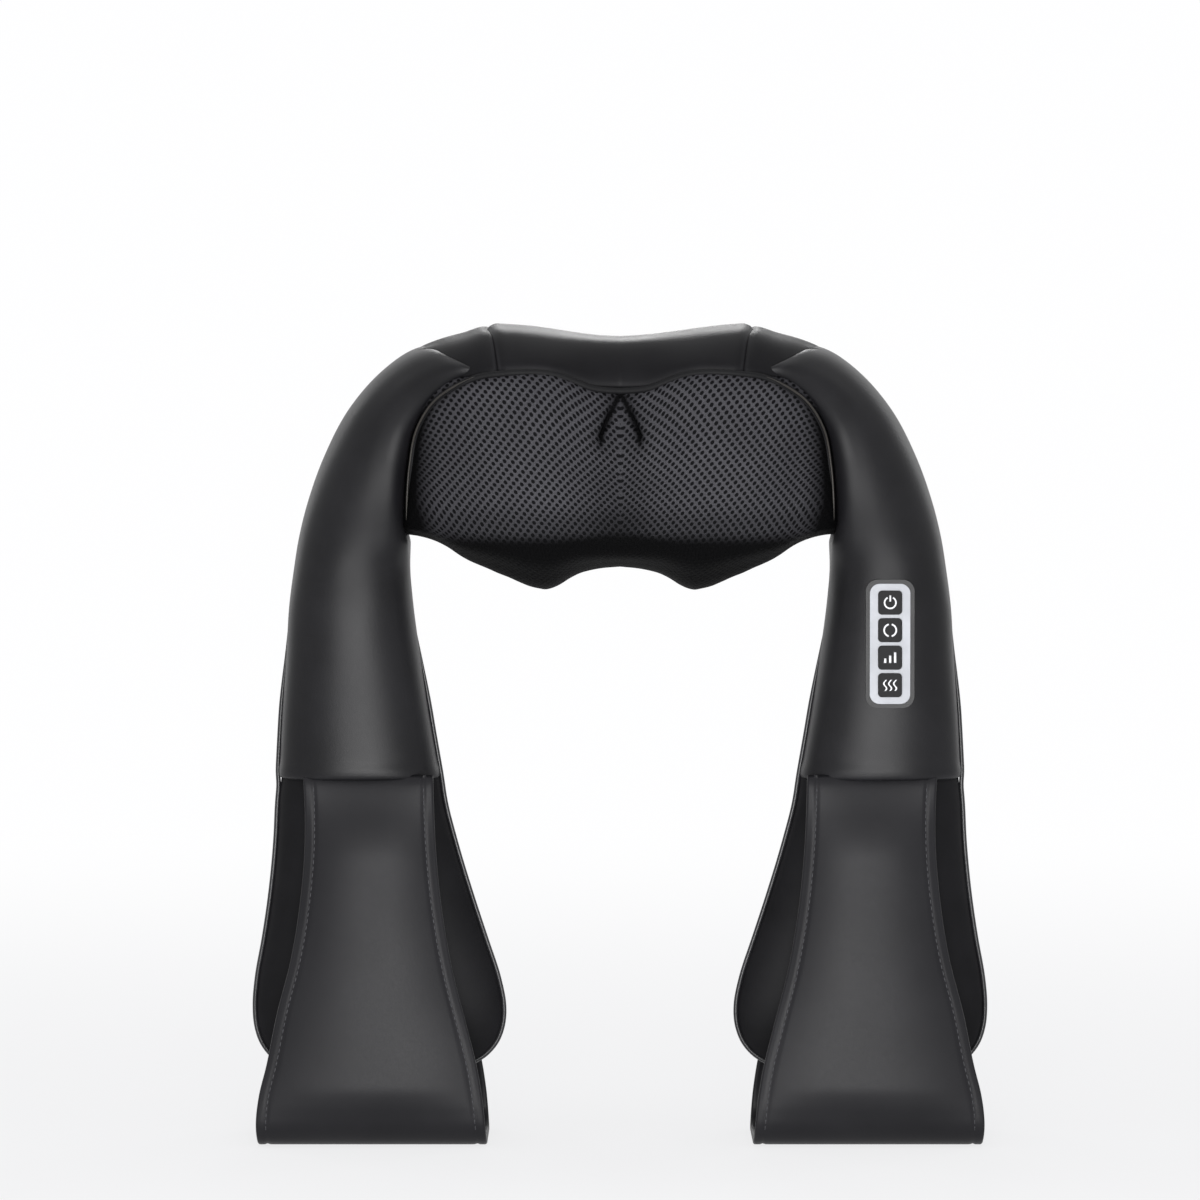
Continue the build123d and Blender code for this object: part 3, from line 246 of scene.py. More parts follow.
class Wire:
    """One output of a finish; sums, products and comparisons of it add the Math nodes they need."""

    def __init__(self, finish, socket):
        self.finish, self.socket = finish, socket

    def math(self, operation, *others):
        return self.finish.node("ShaderNodeMath", dict(enumerate((self, *others))), operation=operation)

    def __add__(self, other):
        return self.math("ADD", other)

    def __sub__(self, other):
        return self.math("SUBTRACT", other)

    def __rsub__(self, other):
        return self.finish.node("ShaderNodeMath", {0: other, 1: self}, operation="SUBTRACT")

    def __mul__(self, other):
        return self.math("MULTIPLY", other)

    def __truediv__(self, other):
        return self.math("DIVIDE", other)

    __radd__, __rmul__ = __add__, __mul__

    def step(self, low, high):
        """0 below low, 1 above high, eased in between."""
        sockets = {"Value": self, "From Min": low, "From Max": high}
        return self.finish.node("ShaderNodeMapRange", sockets, interpolation_type="SMOOTHSTEP")


class Finish:
    """A material whose nodes are added one at a time, ending in one shader."""

    def __init__(self, name):
        self.material = bpy.data.materials.new(name)
        self.material.use_nodes = True
        self.tree = self.material.node_tree
        self.tree.nodes.clear()

    def node(self, kind, sockets=(), output=0, **settings):
        """Any node: its settings first, then what each of its sockets holds or is linked to."""
        node = self.tree.nodes.new(kind)
        for setting, value in settings.items():
            setattr(node, setting, value)
        for socket, value in dict(sockets).items():
            if isinstance(value, Wire):
                self.tree.links.new(value.socket, node.inputs[socket])
                continue
            opaque = (1.0,) if node.inputs[socket].type == "RGBA" else ()
            node.inputs[socket].default_value = (*value, *opaque) if isinstance(value, tuple) else value
        return Wire(self, node.outputs[output])

    def blend(self, share, colour, other):
        """Colour that goes from one to the other as share goes from 0 to 1."""
        return self.node("ShaderNodeMix", {0: share, 6: colour, 7: other}, output=2, data_type="RGBA")

    def place(self):
        return self.node("ShaderNodeTexCoord", output="Object")

    def cloth(self):
        return self.node("ShaderNodeUVMap", uv_map="cloth")

    def mark(self, label):
        return self.node("ShaderNodeAttribute", output="Fac", attribute_name=label)

    def parts(self, vector):
        apart = self.node("ShaderNodeSeparateXYZ", {0: vector}).socket.node
        return [Wire(self, socket) for socket in apart.outputs]

    def noise(self, at, scale, detail=3.0, rough=0.55):
        return self.node("ShaderNodeTexNoise", {"Vector": at, "Scale": scale, "Detail": detail, "Roughness": rough})

    def cells(self, at, scale, feature="F1", jitter=1.0):
        sockets = {"Vector": at, "Scale": scale, "Randomness": jitter}
        return self.node("ShaderNodeTexVoronoi", sockets, output="Distance", feature=feature)

    def done(self, colour, rough, height=None, depth=0.0, **more):
        """Ends the finish in one Principled shader, with a relief of some height between 0 and 1 times its depth."""
        sockets = {"Base Color": colour, "Roughness": rough}
        if height:
            sockets["Normal"] = self.node("ShaderNodeBump", {"Height": height, "Distance": depth, "Strength": 1.0})
        sockets.update((key.replace("_", " "), value) for key, value in more.items())
        self.node_out(self.node("ShaderNodeBsdfPrincipled", sockets))
        return self.material

    def node_out(self, shader):
        out = self.tree.nodes.new("ShaderNodeOutputMaterial")
        self.tree.links.new(shader.socket, out.inputs["Surface"])


def paler(colour, gain, lift=0):
    """A colour made lighter, in proportion and by a fixed lift."""
    return tuple(min(1, gain * c + lift) for c in colour)


GRAIN_DEPTH = 0.000026
KNIT_PITCH = 4.4 * MM
KNIT_DEPTH = 0.00055
WEAVE_DEPTH = 0.000024


def leather(name, dark, pale, gloss, shine=0.18, grain=1):
    """Satin leather cloth: pebbled grain with fine pores, slow mottling, and worn pale edges along its seams."""
    f = Finish(name)
    at = f.place()
    mottle = f.noise(at, 26, 4)
    pores = f.noise(at, 2600, 2)
    pebbles = f.cells(at, 1150, "DISTANCE_TO_EDGE")
    warped = f.noise(at, 620, 3)
    worn = f.mark("worn")
    tone = f.blend(mottle.step(0.3, 0.7), dark, pale)
    tone = f.blend(worn * mottle.step(0.2, 0.8) * 0.55, tone, paler(pale, 2.6, 0.012))
    rough = gloss + (mottle - 0.5) * 0.12 + (pores - 0.5) * 0.06 + worn * 0.08
    height = pebbles.step(0, 0.16) * 0.55 + warped * 0.3 + pores * 0.15
    return f.done(tone, rough, height, GRAIN_DEPTH * grain, Specular_IOR_Level=shine)


def knitted_mesh(name):
    """Air mesh: a staggered grid of round holes between pale yarns, on the piece's own flat map, with painted shade
    that darkens it in its creases, under the rim, at its sides and in the tuck.
    """
    f = Finish(name)
    pressed = f.mark("pressed")
    u, v, _ = f.parts(f.cloth())
    turned = f.node("ShaderNodeCombineXYZ", {0: (u + v) / KNIT_PITCH, 1: (u - v) / KNIT_PITCH})
    hole_far = f.cells(turned, 1, jitter=0)
    yarn = hole_far.step(0.24, 0.40)
    at = f.place()
    fibres = f.noise(at, 4200, 2)
    slow = f.noise(at, 30, 3)
    lit = f.blend(slow.step(0.3, 0.7), (0.033, 0.0323, 0.0365), (0.048, 0.047, 0.0525))
    lit = f.blend(fibres.step(0.35, 0.75), lit, (0.078, 0.077, 0.084))
    tone = f.blend(yarn, (0.0035, 0.0035, 0.0042), lit)
    # Painted shade: the knit goes nearly black along its creases, under the rim, at its sides and in the tuck.
    tone = f.blend(pressed, tone, (0.0012, 0.0012, 0.0014))
    height = yarn * 0.75 + fibres * 0.18
    return f.done(tone, 0.62 + fibres * 0.25, height, KNIT_DEPTH, Specular_IOR_Level=0.05)


def woven(name, dark, pale, threads, rough):
    """Close plain weave: warp and weft waves in turn on the flat map, with slubs and slow shade changes."""
    f = Finish(name)
    u, v, _ = f.parts(f.cloth())
    warp = (u * (threads * 2 * np.pi)).math("SINE")
    weft = (v * (threads * 2 * np.pi)).math("SINE")
    weave = (warp * weft) * 0.5 + 0.5
    at = f.place()
    slubs = f.noise(at, 900, 3)
    slow = f.noise(at, 22, 3)
    tone = f.blend(slow.step(0.25, 0.75) * 0.7 + weave * 0.3, dark, pale)
    dull = rough + (slubs - 0.5) * 0.15
    return f.done(tone, dull, weave * 0.7 + slubs * 0.3, WEAVE_DEPTH, Specular_IOR_Level=0.14)


def moulded(name, colour, rough, grain, scale=1900, coat=0, shine=0.5):
    """Moulded or painted surface: spark-eroded grain, faint flow marks and handling gloss."""
    f = Finish(name)
    at = f.place()
    fine = f.noise(at, scale, 2)
    flow = f.noise(at, 40, 4)
    tone = f.blend(flow.step(0.3, 0.75), colour, paler(colour, 1.18, 0.004))
    gloss = rough + (flow - 0.5) * 0.14 + (fine - 0.5) * 0.05
    return f.done(tone, gloss, fine, grain, Coat_Weight=coat, Coat_Roughness=0.2, Specular_IOR_Level=shine)


def metal(name, colour, rough):
    """Turned metal: fine stretched tool marks and dull patches."""
    f = Finish(name)
    at = f.place()
    stretched = f.node("ShaderNodeMapping", {"Vector": at, "Scale": (60, 2600, 2600)})
    marks = f.noise(stretched, 1, 2)
    dull = f.noise(at, 160, 3)
    tone = f.blend(dull.step(0.35, 0.8), colour, paler(colour, 0.72))
    return f.done(tone, rough + dull * 0.15, marks, 0.00002, Metallic=1)


def board_finish(name):
    """Green solder mask over fine copper lines, with pale pads."""
    f = Finish(name)
    at = f.place()
    lines = f.cells(at, 320, "DISTANCE_TO_EDGE")
    pads = f.cells(at, 210, "F1").step(0.14, 0.10)
    tone = f.blend(lines.step(0.05, 0.09), (0.03, 0.17, 0.07), (0.008, 0.075, 0.03))
    tone = f.blend(pads, tone, (0.55, 0.56, 0.5))
    return f.done(tone, 0.32 + pads * 0.1, lines.step(0.05, 0.09), 0.00003)


def foam_finish(name):
    """Open cell foam: pale walls round dark cells."""
    f = Finish(name)
    cells = f.cells(f.place(), 900)
    tone = f.blend(cells.step(0.1, 0.7), (0.06, 0.06, 0.065), (0.18, 0.18, 0.19))
    return f.done(tone, 0.95, cells, 0.0004)


def lamp_finish(name):
    """Red glass of the heating lamps, in swirls of darker and lighter red."""
    f = Finish(name)
    swirl = f.noise(f.place(), 300, 2)
    tone = f.blend(swirl, (0.35, 0.01, 0.008), (0.62, 0.03, 0.02))
    return f.done(tone, 0.08 + swirl * 0.06, Coat_Weight=0.4, Coat_Roughness=0.05)


def thread_finish(name, colour):
    """Twisted sewing thread with a bright ply."""
    f = Finish(name)
    ply = f.noise(f.place(), 3200, 1)
    tone = f.blend(ply.step(0.3, 0.7), colour, paler(colour, 1.7))
    return f.done(tone, 0.5 + ply * 0.1, ply, 0.00008)


COVER_LEATHER = leather("cover_leather", (0.0065, 0.0064, 0.0074), (0.0098, 0.0096, 0.0110), 0.39)
# Painted shade: the crown and gussets are the arms' leather painted darker, since their upward faces catch more of the
# lamps.
SHADED_CROWN_LEATHER = leather("crown_leather", (0.0046, 0.0045, 0.0053), (0.0070, 0.0068, 0.0079), 0.44, 0.10)
# Painted shade: the pads are the arms' leather painted darker, for the shadow the straps cast on them.
SHADED_PAD_LEATHER = leather("pad_leather", (0.0038, 0.0037, 0.0044), (0.0062, 0.0060, 0.0071), 0.44, 0.11)
AIR_MESH = knitted_mesh("air_mesh")
STRAP_CLOTH = woven("strap_cloth", (0.0098, 0.0096, 0.0110), (0.0145, 0.0142, 0.0160), 1600, 0.43)
BINDING = woven("binding_tape", (0.0030, 0.0030, 0.0036), (0.0060, 0.0059, 0.0066), 1900, 0.6)
PIPING_VINYL = leather("piping_vinyl", (0.0120, 0.0118, 0.0130), (0.0200, 0.0195, 0.0215), 0.30, 0.35, 0.6)
EDGE_CORD = leather("edge_cord", (0.0240, 0.0215, 0.0190), (0.0400, 0.0360, 0.0310), 0.38, 0.3, 0.6)
THREAD = thread_finish("sewing_thread", (0.020, 0.020, 0.023))


def icon_print(name):
    """White pad print with a slight orange peel."""
    f = Finish(name)
    peel = f.noise(f.place(), 1500, 2)
    tone = f.blend(peel, (0.78, 0.79, 0.82), (0.90, 0.90, 0.92))
    return f.done(tone, 0.45, peel, 0.00001)


ICON_WHITE = icon_print("icon_print")

# The finish of each material slot of the record
NODE_FINISHES = {
    "leather": COVER_LEATHER,
    "mesh": AIR_MESH,
    "webbing": STRAP_CLOTH,
    "piping": PIPING_VINYL,
    "welt": BINDING,
    "foam": foam_finish("pad_foam"),
    "case_plastic": moulded("case_plastic", (0.035, 0.036, 0.040), 0.48, 0.00006),
    "gear_plastic": moulded("gear_plastic", (0.62, 0.60, 0.54), 0.36, 0.00002),
    "head_plastic": moulded("head_plastic", (0.55, 0.30, 0.16), 0.34, 0.00002, coat=0.15),
    "steel": metal("bright_steel", (0.60, 0.61, 0.63), 0.24),
    "brass": metal("brass", (0.72, 0.52, 0.22), 0.28),
    "magnet": moulded("magnet", (0.055, 0.053, 0.055), 0.55, 0.00008),
    "board": board_finish("circuit_board"),
    "component": moulded("component_plastic", (0.03, 0.03, 0.032), 0.42, 0.00003),
    "lamp": lamp_finish("lamp_glass"),
    "lead": moulded("lead_rubber", (0.02, 0.02, 0.022), 0.5, 0.00004),
    "panel_black": moulded("bezel_gloss", (0.006, 0.006, 0.007), 0.30, 0.000006, shine=0.15),
    "panel_silver": moulded("faceplate_silver", (0.43, 0.44, 0.465), 0.50, 0.000010, 2400, shine=0.1),
    "key": moulded("key_rubber", (0.0060, 0.0060, 0.0068), 0.55, 0.000012, shine=0.15),
}


def dress_frame():
    """Gives each carried-over node the finish of its slot, which its plain material is named after."""
    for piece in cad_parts.values():
        slots = piece.data.materials
        finish = NODE_FINISHES[slots[0].name.split(".")[0]]
        for index in range(len(slots)):
            slots[index] = finish


dress_frame()


# Bridge: one closed skin in sections along X, cut into mesh, crown and gussets along its own rows

SECTION_X = np.array([0, 22, 41, 60, 76, 90, 104, 114, 124])
FRONT_Y = np.array([-65, -69, -73, -74, -71, -64, -50, -34, -14])
BACK_Y = np.array([75, 75, 75, 75, 74, 69, 60, 48, 30])
TOP_X = np.array([0, 11, 22, 33, 44, 57, 68, 77, 88, 99, 110, 124])
TOP_Z = np.array([442.2, 442.7, 443.8, 445.3, 446.9, 448.3, 448.6, 447, 444.3, 441.3, 436.8, 426])
TIP_X = np.array([
    0, 11, 16.5, 22, 27.5, 33, 38.5, 41, 44, 49.5, 55, 60.5, 66, 71.5, 77, 82.5, 88, 93.5, 99, 104.5, 110, 124,
])
TIP_Z = np.array([
    315.7, 314.6, 313.5, 311.9, 309.2, 305.8, 303.6, 303.2, 303.7, 305.3, 308, 310.8, 313, 315.3, 317.2, 319.3,
    322.3, 326, 328.9, 331, 332.4, 334,
])
LOBE_X = np.array([0, 8, 16.5, 23, 30.3, 37, 44, 55, 66, 74.8, 90, 105, 124])
LOBE_Z = np.array([413.1, 413.4, 414.7, 417.2, 420, 421.7, 422.5, 422.3, 421.3, 420.2, 419, 412, 398])
RIM_X = np.array([0, 35, 68, 90, 104, 124])
RIM_Z = np.array([327, 329.5, 330.5, 334.5, 338.5, 342])

# Running length of each control row of a section, from the mesh's back edge round the front and over the top
ROWS = np.array([0, 54, 96, 116, 124, 137, 176, 216, 238, 266, 296, 328, 358, 384, 410, 442, 468, 490])
LOBE_ROW, LAST_ROW = ROWS[7], ROWS[-1]
SEAM_X = 66
SEAM_TOP_X = 72.4
SIDE_X = 123
END_X = 124

# Lobed edge from the middle out to inside the right arm, X and Z, and the same at an even spacing along it
LOBE_HALF = np.array([
    (0, 413.1), (8, 413.5), (16.5, 414.8), (23, 417.3), (30.3, 420.1), (37, 421.8), (44, 422.5), (55, 422.3),
    (66, 421.3), (74.8, 420), (88, 414.4), (99.4, 406.3), (109.4, 391), (113.6, 371), (115.2, 350),
    (115.6, 334),
])
LOBE_EDGE = smooth(lengths(LOBE_HALF), LOBE_HALF, np.linspace(0, lengths(LOBE_HALF)[-1], 170))

# The tuck in the middle of the mesh: its top, how fast its two legs lean apart below it, and how far at most
TUCK_TOP, TUCK_LEAN, TUCK_HALF = 411, 0.42, 9.6


def bridge_point(x, row):
    """Point of the bridge's skin: a smooth closed section at X through rows of controls set by its outlines.

    x is in millimetres, an array [row, column]; row is the running length of each row of the grid.
    """
    out = np.abs(x)
    front, back = smooth(SECTION_X, FRONT_Y, out), smooth(SECTION_X, BACK_Y, out)
    top, tip = smooth(TOP_X, TOP_Z, out), smooth(TIP_X, TIP_Z, out)
    lobe, rim = smooth(LOBE_X, LOBE_Z, out), smooth(RIM_X, RIM_Z, out)
    drop = rim - tip
    edge = np.clip((END_X - out) / 24, 0.35, 1)
    ys = [
        back * 0.64, -8 * edge, front * 0.62, front * 0.91, front * 0.985, front, front, front * 0.955,
        front * 0.78, front * 0.42, 0 * out, back * 0.45, back * 0.80, back * 0.965, back, back * 0.985, back * 0.88,
    ]
    zs = [
        tip + 0.20 * drop, tip, tip + 0.28 * drop, tip + 0.74 * drop, rim + 2, rim + 14, 0.45 * rim + 0.55 * lobe,
        lobe, top - 9 * edge, top - 1.6, top, top - 1.6, top - 10 * edge, top - 31, 0.52 * top + 0.48 * rim,
        rim + 12, tip + 0.62 * drop,
    ]
    before = ROWS[-2] - LAST_ROW
    knots = np.concatenate([[before], ROWS, [LAST_ROW + ROWS[1]]])
    table = np.stack([ys, zs], axis=-1)
    table = np.concatenate([table[-1:], table, table[:2]])
    return np.concatenate([x[..., None], smooth(knots, table, row, by_row=True)], axis=-1)


def tuck_leg(z):
    """Distance of the tuck's two legs from the middle at a height: proportional to the drop below its top."""
    return np.clip((TUCK_TOP - z) * TUCK_LEAN, 0, TUCK_HALF)


DEEPEST = 7.5


def bridge_puff(points):
    """Padding seen through the skin: a sum of bell curves for the lobes that swell over the heads, a valley, a tuck
    with a ridge along each of its legs, and the crown's middle, never so deep that the case would show.
    """
    x, y, z = points[..., 0], points[..., 1], points[..., 2]
    out = np.abs(x)
    facing = ramp(-y, 20, 55)
    swell = 2.4 * near(out - 50, 30) * near(z - 368, 34)
    valley = -3.4 * near(out, 11) * ramp(z, 318, 372) * ramp(416 - z, 0, 7)
    from_leg = out - tuck_leg(z)
    fade = ramp(z, 378, 392) * ramp(413.5 - z, 0, 3)
    tuck = -6 * near(from_leg, 1.7) * fade + 1.6 * near(from_leg - 3.9, 2.6) * fade
    inner = -1.4 * ramp(-from_leg, 0, 2) * fade
    pushed = (swell + valley + tuck + inner) * facing
    over_case = near(out, 16) * ramp(z, 396, 404)
    crown_middle = 1.1 * near(out, 60) * ramp(z, 412, 426) * facing
    over_heads = 1.7 * near(out - 64, 20) * near(y + 33, 16) * ramp(334 - z, 0, 8)
    return np.maximum(pushed, 5.7 * over_case - DEEPEST) + crown_middle + over_heads


def bridge_grid(x, row):
    """Points of the bridge's skin, their outward normals, and how far the padding raises each along its normal."""
    points = bridge_point(x, row)
    normal = outward(points)
    return points, normal, bridge_puff(points) + 0.5 * ripples(points, 70, 3)


BRIDGE_MIDDLE = (0, 0, 0.375)
EDGE_SINK = 1.7


def seam_sink(distance, depth=EDGE_SINK, width=2.6):
    """How far a panel dips towards a seam at a distance from it."""
    return -depth * np.exp(-distance / width)


def mesh_map(row, x):
    """Flat map of the mesh: its knit fans out from the foot of each lobe and meets in a chevron in the middle."""
    out = np.abs(x)
    fall = (LOBE_ROW - row)[:, None] + 0 * x
    fan = 0.32 * out * ramp(170 - fall, -60, 150)
    u = out * (1 + 0.0011 * fall) + 0.16 * fall
    v = fall * (1 - 0.0007 * out) + 0.55 * fan
    return np.stack([u, v], axis=-1) * MM


def mesh_panel():
    """Lobed mesh face: the skin from its back edge under the bridge, round the rim and up to the lobed edge."""
    half = np.concatenate([np.linspace(0, 14, 28)[:-1], np.linspace(14, SIDE_X, 92)])
    columns = np.concatenate([-half[:0:-1], half])
    row = np.concatenate([
        np.linspace(0, 110, 34)[:-1], np.linspace(110, 140, 16)[:-1], np.linspace(140, LOBE_ROW, 52),
    ])
    x = np.broadcast_to(columns, (len(row), len(columns)))
    points, normal, puff = bridge_grid(x, row)
    puff = puff + seam_sink((LOBE_ROW - row)[:, None]) + seam_sink(row[:, None])
    return (points + normal * puff[..., None]) * MM, mesh_map(row, x), painted_shade_share(points)


def painted_shade_share(points):
    """Painted shade on the knit: full in the crease along the lobed edge and arms, under the rim and in the tuck, with
    a painted shadow along the tuck and darker knit at the sides and down the middle.

    It falls off as exp(-distance) from the lobed edge, eases in below the rim and is a bell curve across each fold.
    """
    out, z = np.abs(points[..., 0]), points[..., 2]
    flat = np.stack([out, z], axis=-1).reshape(-1, 1, 2)
    away = np.sqrt(((flat - LOBE_EDGE) ** 2).sum(axis=-1)).min(axis=1).reshape(out.shape)
    crease = np.exp(-away / 2.6) * (0.75 + 0.25 * ramp(out, 76, 92))
    side = ramp(out, 96, 116) * 0.9
    under = 0.4 * ramp(354 - z, 0, 16) + 0.6 * ramp(338 - z, 0, 9)
    from_leg = out - tuck_leg(z)
    fold = near(from_leg, 1.3) * ramp(z, 380, 388) * ramp(412 - z, 0, 3)
    shadow = 0.45 * near(from_leg - 1.5, 5.5) * ramp(z, 374, 390) * ramp(412 - z, 0, 3)
    middle = 0.3 * near(out, 20) * (0.4 + 0.6 * ramp(392 - z, 0, 50)) * ramp(412 - z, 0, 14)
    return np.clip(crease + side + under + fold + shadow + middle, 0, 1)


def seam_at(row):
    """X of the slanted seam at a row: it leans outwards from the lobed edge over the top and back in behind."""
    lean = np.interp(row, [LOBE_ROW, ROWS[9], ROWS[11], ROWS[13], LAST_ROW], [0, 1, 1, 0.6, 0.2])
    return SEAM_X + (SEAM_TOP_X - SEAM_X) * lean


CROWN_ROWS = np.concatenate([
    LOBE_ROW + np.linspace(0, 8, 9)[:-1],
    np.linspace(LOBE_ROW + 8, ROWS[12], 56)[:-1],
    np.linspace(ROWS[12], LAST_ROW, 40),
])


def crown_grid(x, to_seam):
    """Skin on the crown's rows, dipped along the slanted seam, the lobed edge and the back edge."""
    points, normal, puff = bridge_grid(x, CROWN_ROWS)
    to_edge = (CROWN_ROWS - LOBE_ROW)[:, None] + 0 * x
    puff = puff + seam_sink(to_seam, 1.4, 1.6) + seam_sink(to_edge) + seam_sink((LAST_ROW - CROWN_ROWS)[:, None])
    return points, normal, puff, to_edge


def crown_panel():
    """Leather over the middle of the bridge, between the two slanted seams, with a low ridge beside each seam."""
    share = np.sin(np.linspace(-1, 1, 121) * np.pi / 2 * 0.92) / np.sin(np.pi / 2 * 0.92)
    seam = seam_at(CROWN_ROWS)[:, None]
    x = seam * share
    to_seam = seam - np.abs(x)
    points, normal, puff, to_edge = crown_grid(x, to_seam)
    puff = puff + 0.35 * near(to_seam - 5, 2.5)
    worn = np.clip(near(to_seam - 1.3, 0.8) + 0.5 * near(to_edge - 2, 1.5), 0, 1)
    return (points + normal * puff[..., None]) * MM, worn


def gusset():
    """Leather from the slanted seam to inside the right arm, sinking a little towards the arm."""
    share = 1 - np.cos(np.linspace(0, 1, 52) * np.pi / 2)
    seam = seam_at(CROWN_ROWS)[:, None]
    x = seam + (SIDE_X - seam) * share
    to_seam = x - seam
    points, normal, puff, _ = crown_grid(x, to_seam)
    puff = puff - 0.9 * ramp(to_seam, 2, 14)
    worn = np.clip(near(to_seam - 1.2, 0.7) * 0.7, 0, 1)
    return (points + normal * puff[..., None]) * MM, worn


# Arms: stations from hem to crown. Inner X and Z, outer X and Z, then depths at the inner edge and of the bulge,
# for the front and for the back

ARM_STATIONS = np.array([
    (99, 199, 187.6, 199, 0, 27, 0, 27),
    (104.5, 231, 185.9, 231, 0, 27.5, 0, 28),
    (109.5, 264, 183.7, 264, 0, 28, 0, 29),
    (113.6, 294, 181.8, 295, 0, 28.6, 0, 30),
    (115.4, 314, 179.2, 314, 2, 29, 2, 30.5),
    (115.8, 331.7, 176.4, 331, 17, 17.5, 18, 17.5),
    (115.4, 350, 171.6, 350.5, 25, 13.5, 30, 10.5),
    (113.8, 371, 162.6, 376, 30, 12, 40, 9),
    (109.6, 391, 149.6, 401.5, 37, 8.5, 48, 7),
    (99.6, 406.4, 133.6, 420.8, 48, 5, 56, 4),
    (88, 414.6, 120.4, 431.6, 58, 2, 62, 1.5),
    (74.8, 420.4, 106, 439, 65, 0.5, 66, 0),
])
ARM_ROWS = 190
ARM_TURN = 56
WALL_COLUMNS = 7
BULGE_POWER = 2.25
HEM_ROLL = 2.2


def arm_stations(at):
    """Station values at shares from the hem (0) to the crown (1), spaced by length along the arm's middle."""
    middle = (ARM_STATIONS[:, 0:2] + ARM_STATIONS[:, 2:4]) / 2
    along = lengths(middle)
    return smooth(along / along[-1], ARM_STATIONS, at), along[-1]


def bulge(w):
    """Section of power p from 0 at w = 1 to 1 at w = 0: (1 - w^p)^(1/p)."""
    return (1 - w ** BULGE_POWER) ** (1 / BULGE_POWER)


def arm_shell():
    """Right arm as rings from hem to crown: front from inner to outer edge, back again, and the hidden inner wall.

    Front and back are a section open at the inner edge plus one that is closed at both edges, by their two depths.
    """
    at = np.concatenate([np.linspace(0, 0.02, 6)[:-1], np.linspace(0.02, 1, ARM_ROWS)])
    stations, whole = arm_stations(at)
    inner, outer = stations[:, None, 0:2], stations[:, None, 2:4]
    w = (1 - np.cos(np.linspace(0, np.pi, ARM_TURN))) / 2
    from_inner, closed = bulge(w), bulge(np.abs(2 * w - 1))
    e_front, b_front, e_back, b_back = (stations[:, k, None] for k in range(4, 8))
    front_y = -(e_front * from_inner + b_front * closed)
    back_y = e_back * from_inner + b_back * closed
    side = inner + (outer - inner) * w[:, None]
    front = np.stack([side[..., 0], front_y, side[..., 1]], axis=-1)
    back = np.stack([side[..., 0], back_y, side[..., 1]], axis=-1)[:, ::-1]
    share = np.linspace(0, 1, WALL_COLUMNS + 2)[1:-1]
    wall = back[:, -1:] * (1 - share)[:, None] + front[:, :1] * share[:, None]
    ring = np.concatenate([front, back[:, 1:], wall], axis=1)
    across = w * np.linalg.norm(outer - inner, axis=-1)
    to_edge = np.concatenate([across, across[:, -2::-1], np.zeros((len(at), WALL_COLUMNS))], axis=1)
    return ring, at * whole, (1 - at) * whole, to_edge, stations


def arm_cover():
    """The arm's leather: its shell, tucked in at the crown seam and mesh edge, with a rolled hem and soft waves.

    joined goes from 0 to 1 where the arm meets the bridge, creased where its inner edge has become a seam.
    """
    ring, from_hem, to_seam, to_edge, stations = arm_shell()
    normal = outward(ring, around=True)
    joined = ramp(stations[:, 4], 2, 12)[:, None]
    sink = seam_sink(to_seam[:, None] + 0 * to_edge, 2.4, 3.2)
    creased = ramp(stations[:, 4], 14, 22)[:, None]
    sink = sink + creased * seam_sink(to_edge, 2.6, 3) + joined * 0.8 * near(to_edge - 9, 6)
    sink = sink - HEM_ROLL * (1 - np.sqrt(1 - (1 - np.clip(from_hem / HEM_ROLL, 0, 1)) ** 2))[:, None]
    sink = sink + 0.45 * near(from_hem[:, None] - 5, 3.5) + 0.45 * ripples(ring, 95, 11)
    folds = near(to_seam - 30, 26)[:, None] * 0.35 * np.sin(to_edge * 0.42 + from_hem[:, None] * 0.06)
    ring = ring + normal * (sink + folds * joined)[..., None]
    worn = np.clip(near(to_seam[:, None] - 2.6, 1.3) + 0.6 * near(from_hem[:, None] - 1.6, 1.2) + 0 * to_edge, 0, 1)
    return capped(ring) * MM, held(worn)


# Pads: Z, outer X, inner X and half thickness from the hem to the tip

PAD_STATIONS = np.array([
    (203, 186, 99.5, 16.6), (187, 187.6, 97.3, 17), (165, 188.7, 91.8, 16.8), (132, 192, 81.9, 16.2),
    (110, 195.3, 74.7, 15.4), (88, 199.2, 67.6, 14.2), (72, 200.3, 64.8, 12.8), (60, 199, 66.2, 11),
    (50, 194.6, 71.4, 8.6), (43, 187, 80.5, 5.8), (39, 176, 93.5, 3), (37.6, 162, 110, 0.6),
])
# The tip is rounded over TIP_RISE above its lowest point
TIP_LOW, TIP_RISE = 37.6, 22.4


def pad_stations(z):
    """Outer X, inner X and half thickness of the pad at a height."""
    return smooth(-PAD_STATIONS[:, 0], PAD_STATIONS[:, 1:], -np.asarray(z))


def pad_shell():
    """Right pad: lens sections (a full oval, pinched at both edges) from the hem to the rounded tip."""
    z = np.concatenate([np.linspace(203, 60, 70)[:-1], TIP_LOW + TIP_RISE * np.cos(np.linspace(0, 1, 34) * np.pi / 2)])
    outer, inner, thick = np.split(pad_stations(z), 3, axis=1)
    angle = np.linspace(0, 2 * np.pi, 96, endpoint=False)
    off_edge = np.abs(np.sin(angle))
    x = (outer + inner) / 2 + (outer - inner) / 2 * np.cos(angle)
    y = thick * (np.sign(np.sin(angle)) * off_edge ** 1.18)
    grid = np.stack([x, y, np.broadcast_to(z[:, None], x.shape)], axis=-1)
    grid[..., 1] += np.sign(y) * (0.5 * ripples(grid, 60, 21) + 0.3) * off_edge ** 2
    return capped(grid) * MM, held(near(off_edge, 0.16)[None, :] + 0 * x) * 0.5


PIPING_OUT = 1
PIPING_RADIUS = 1.3


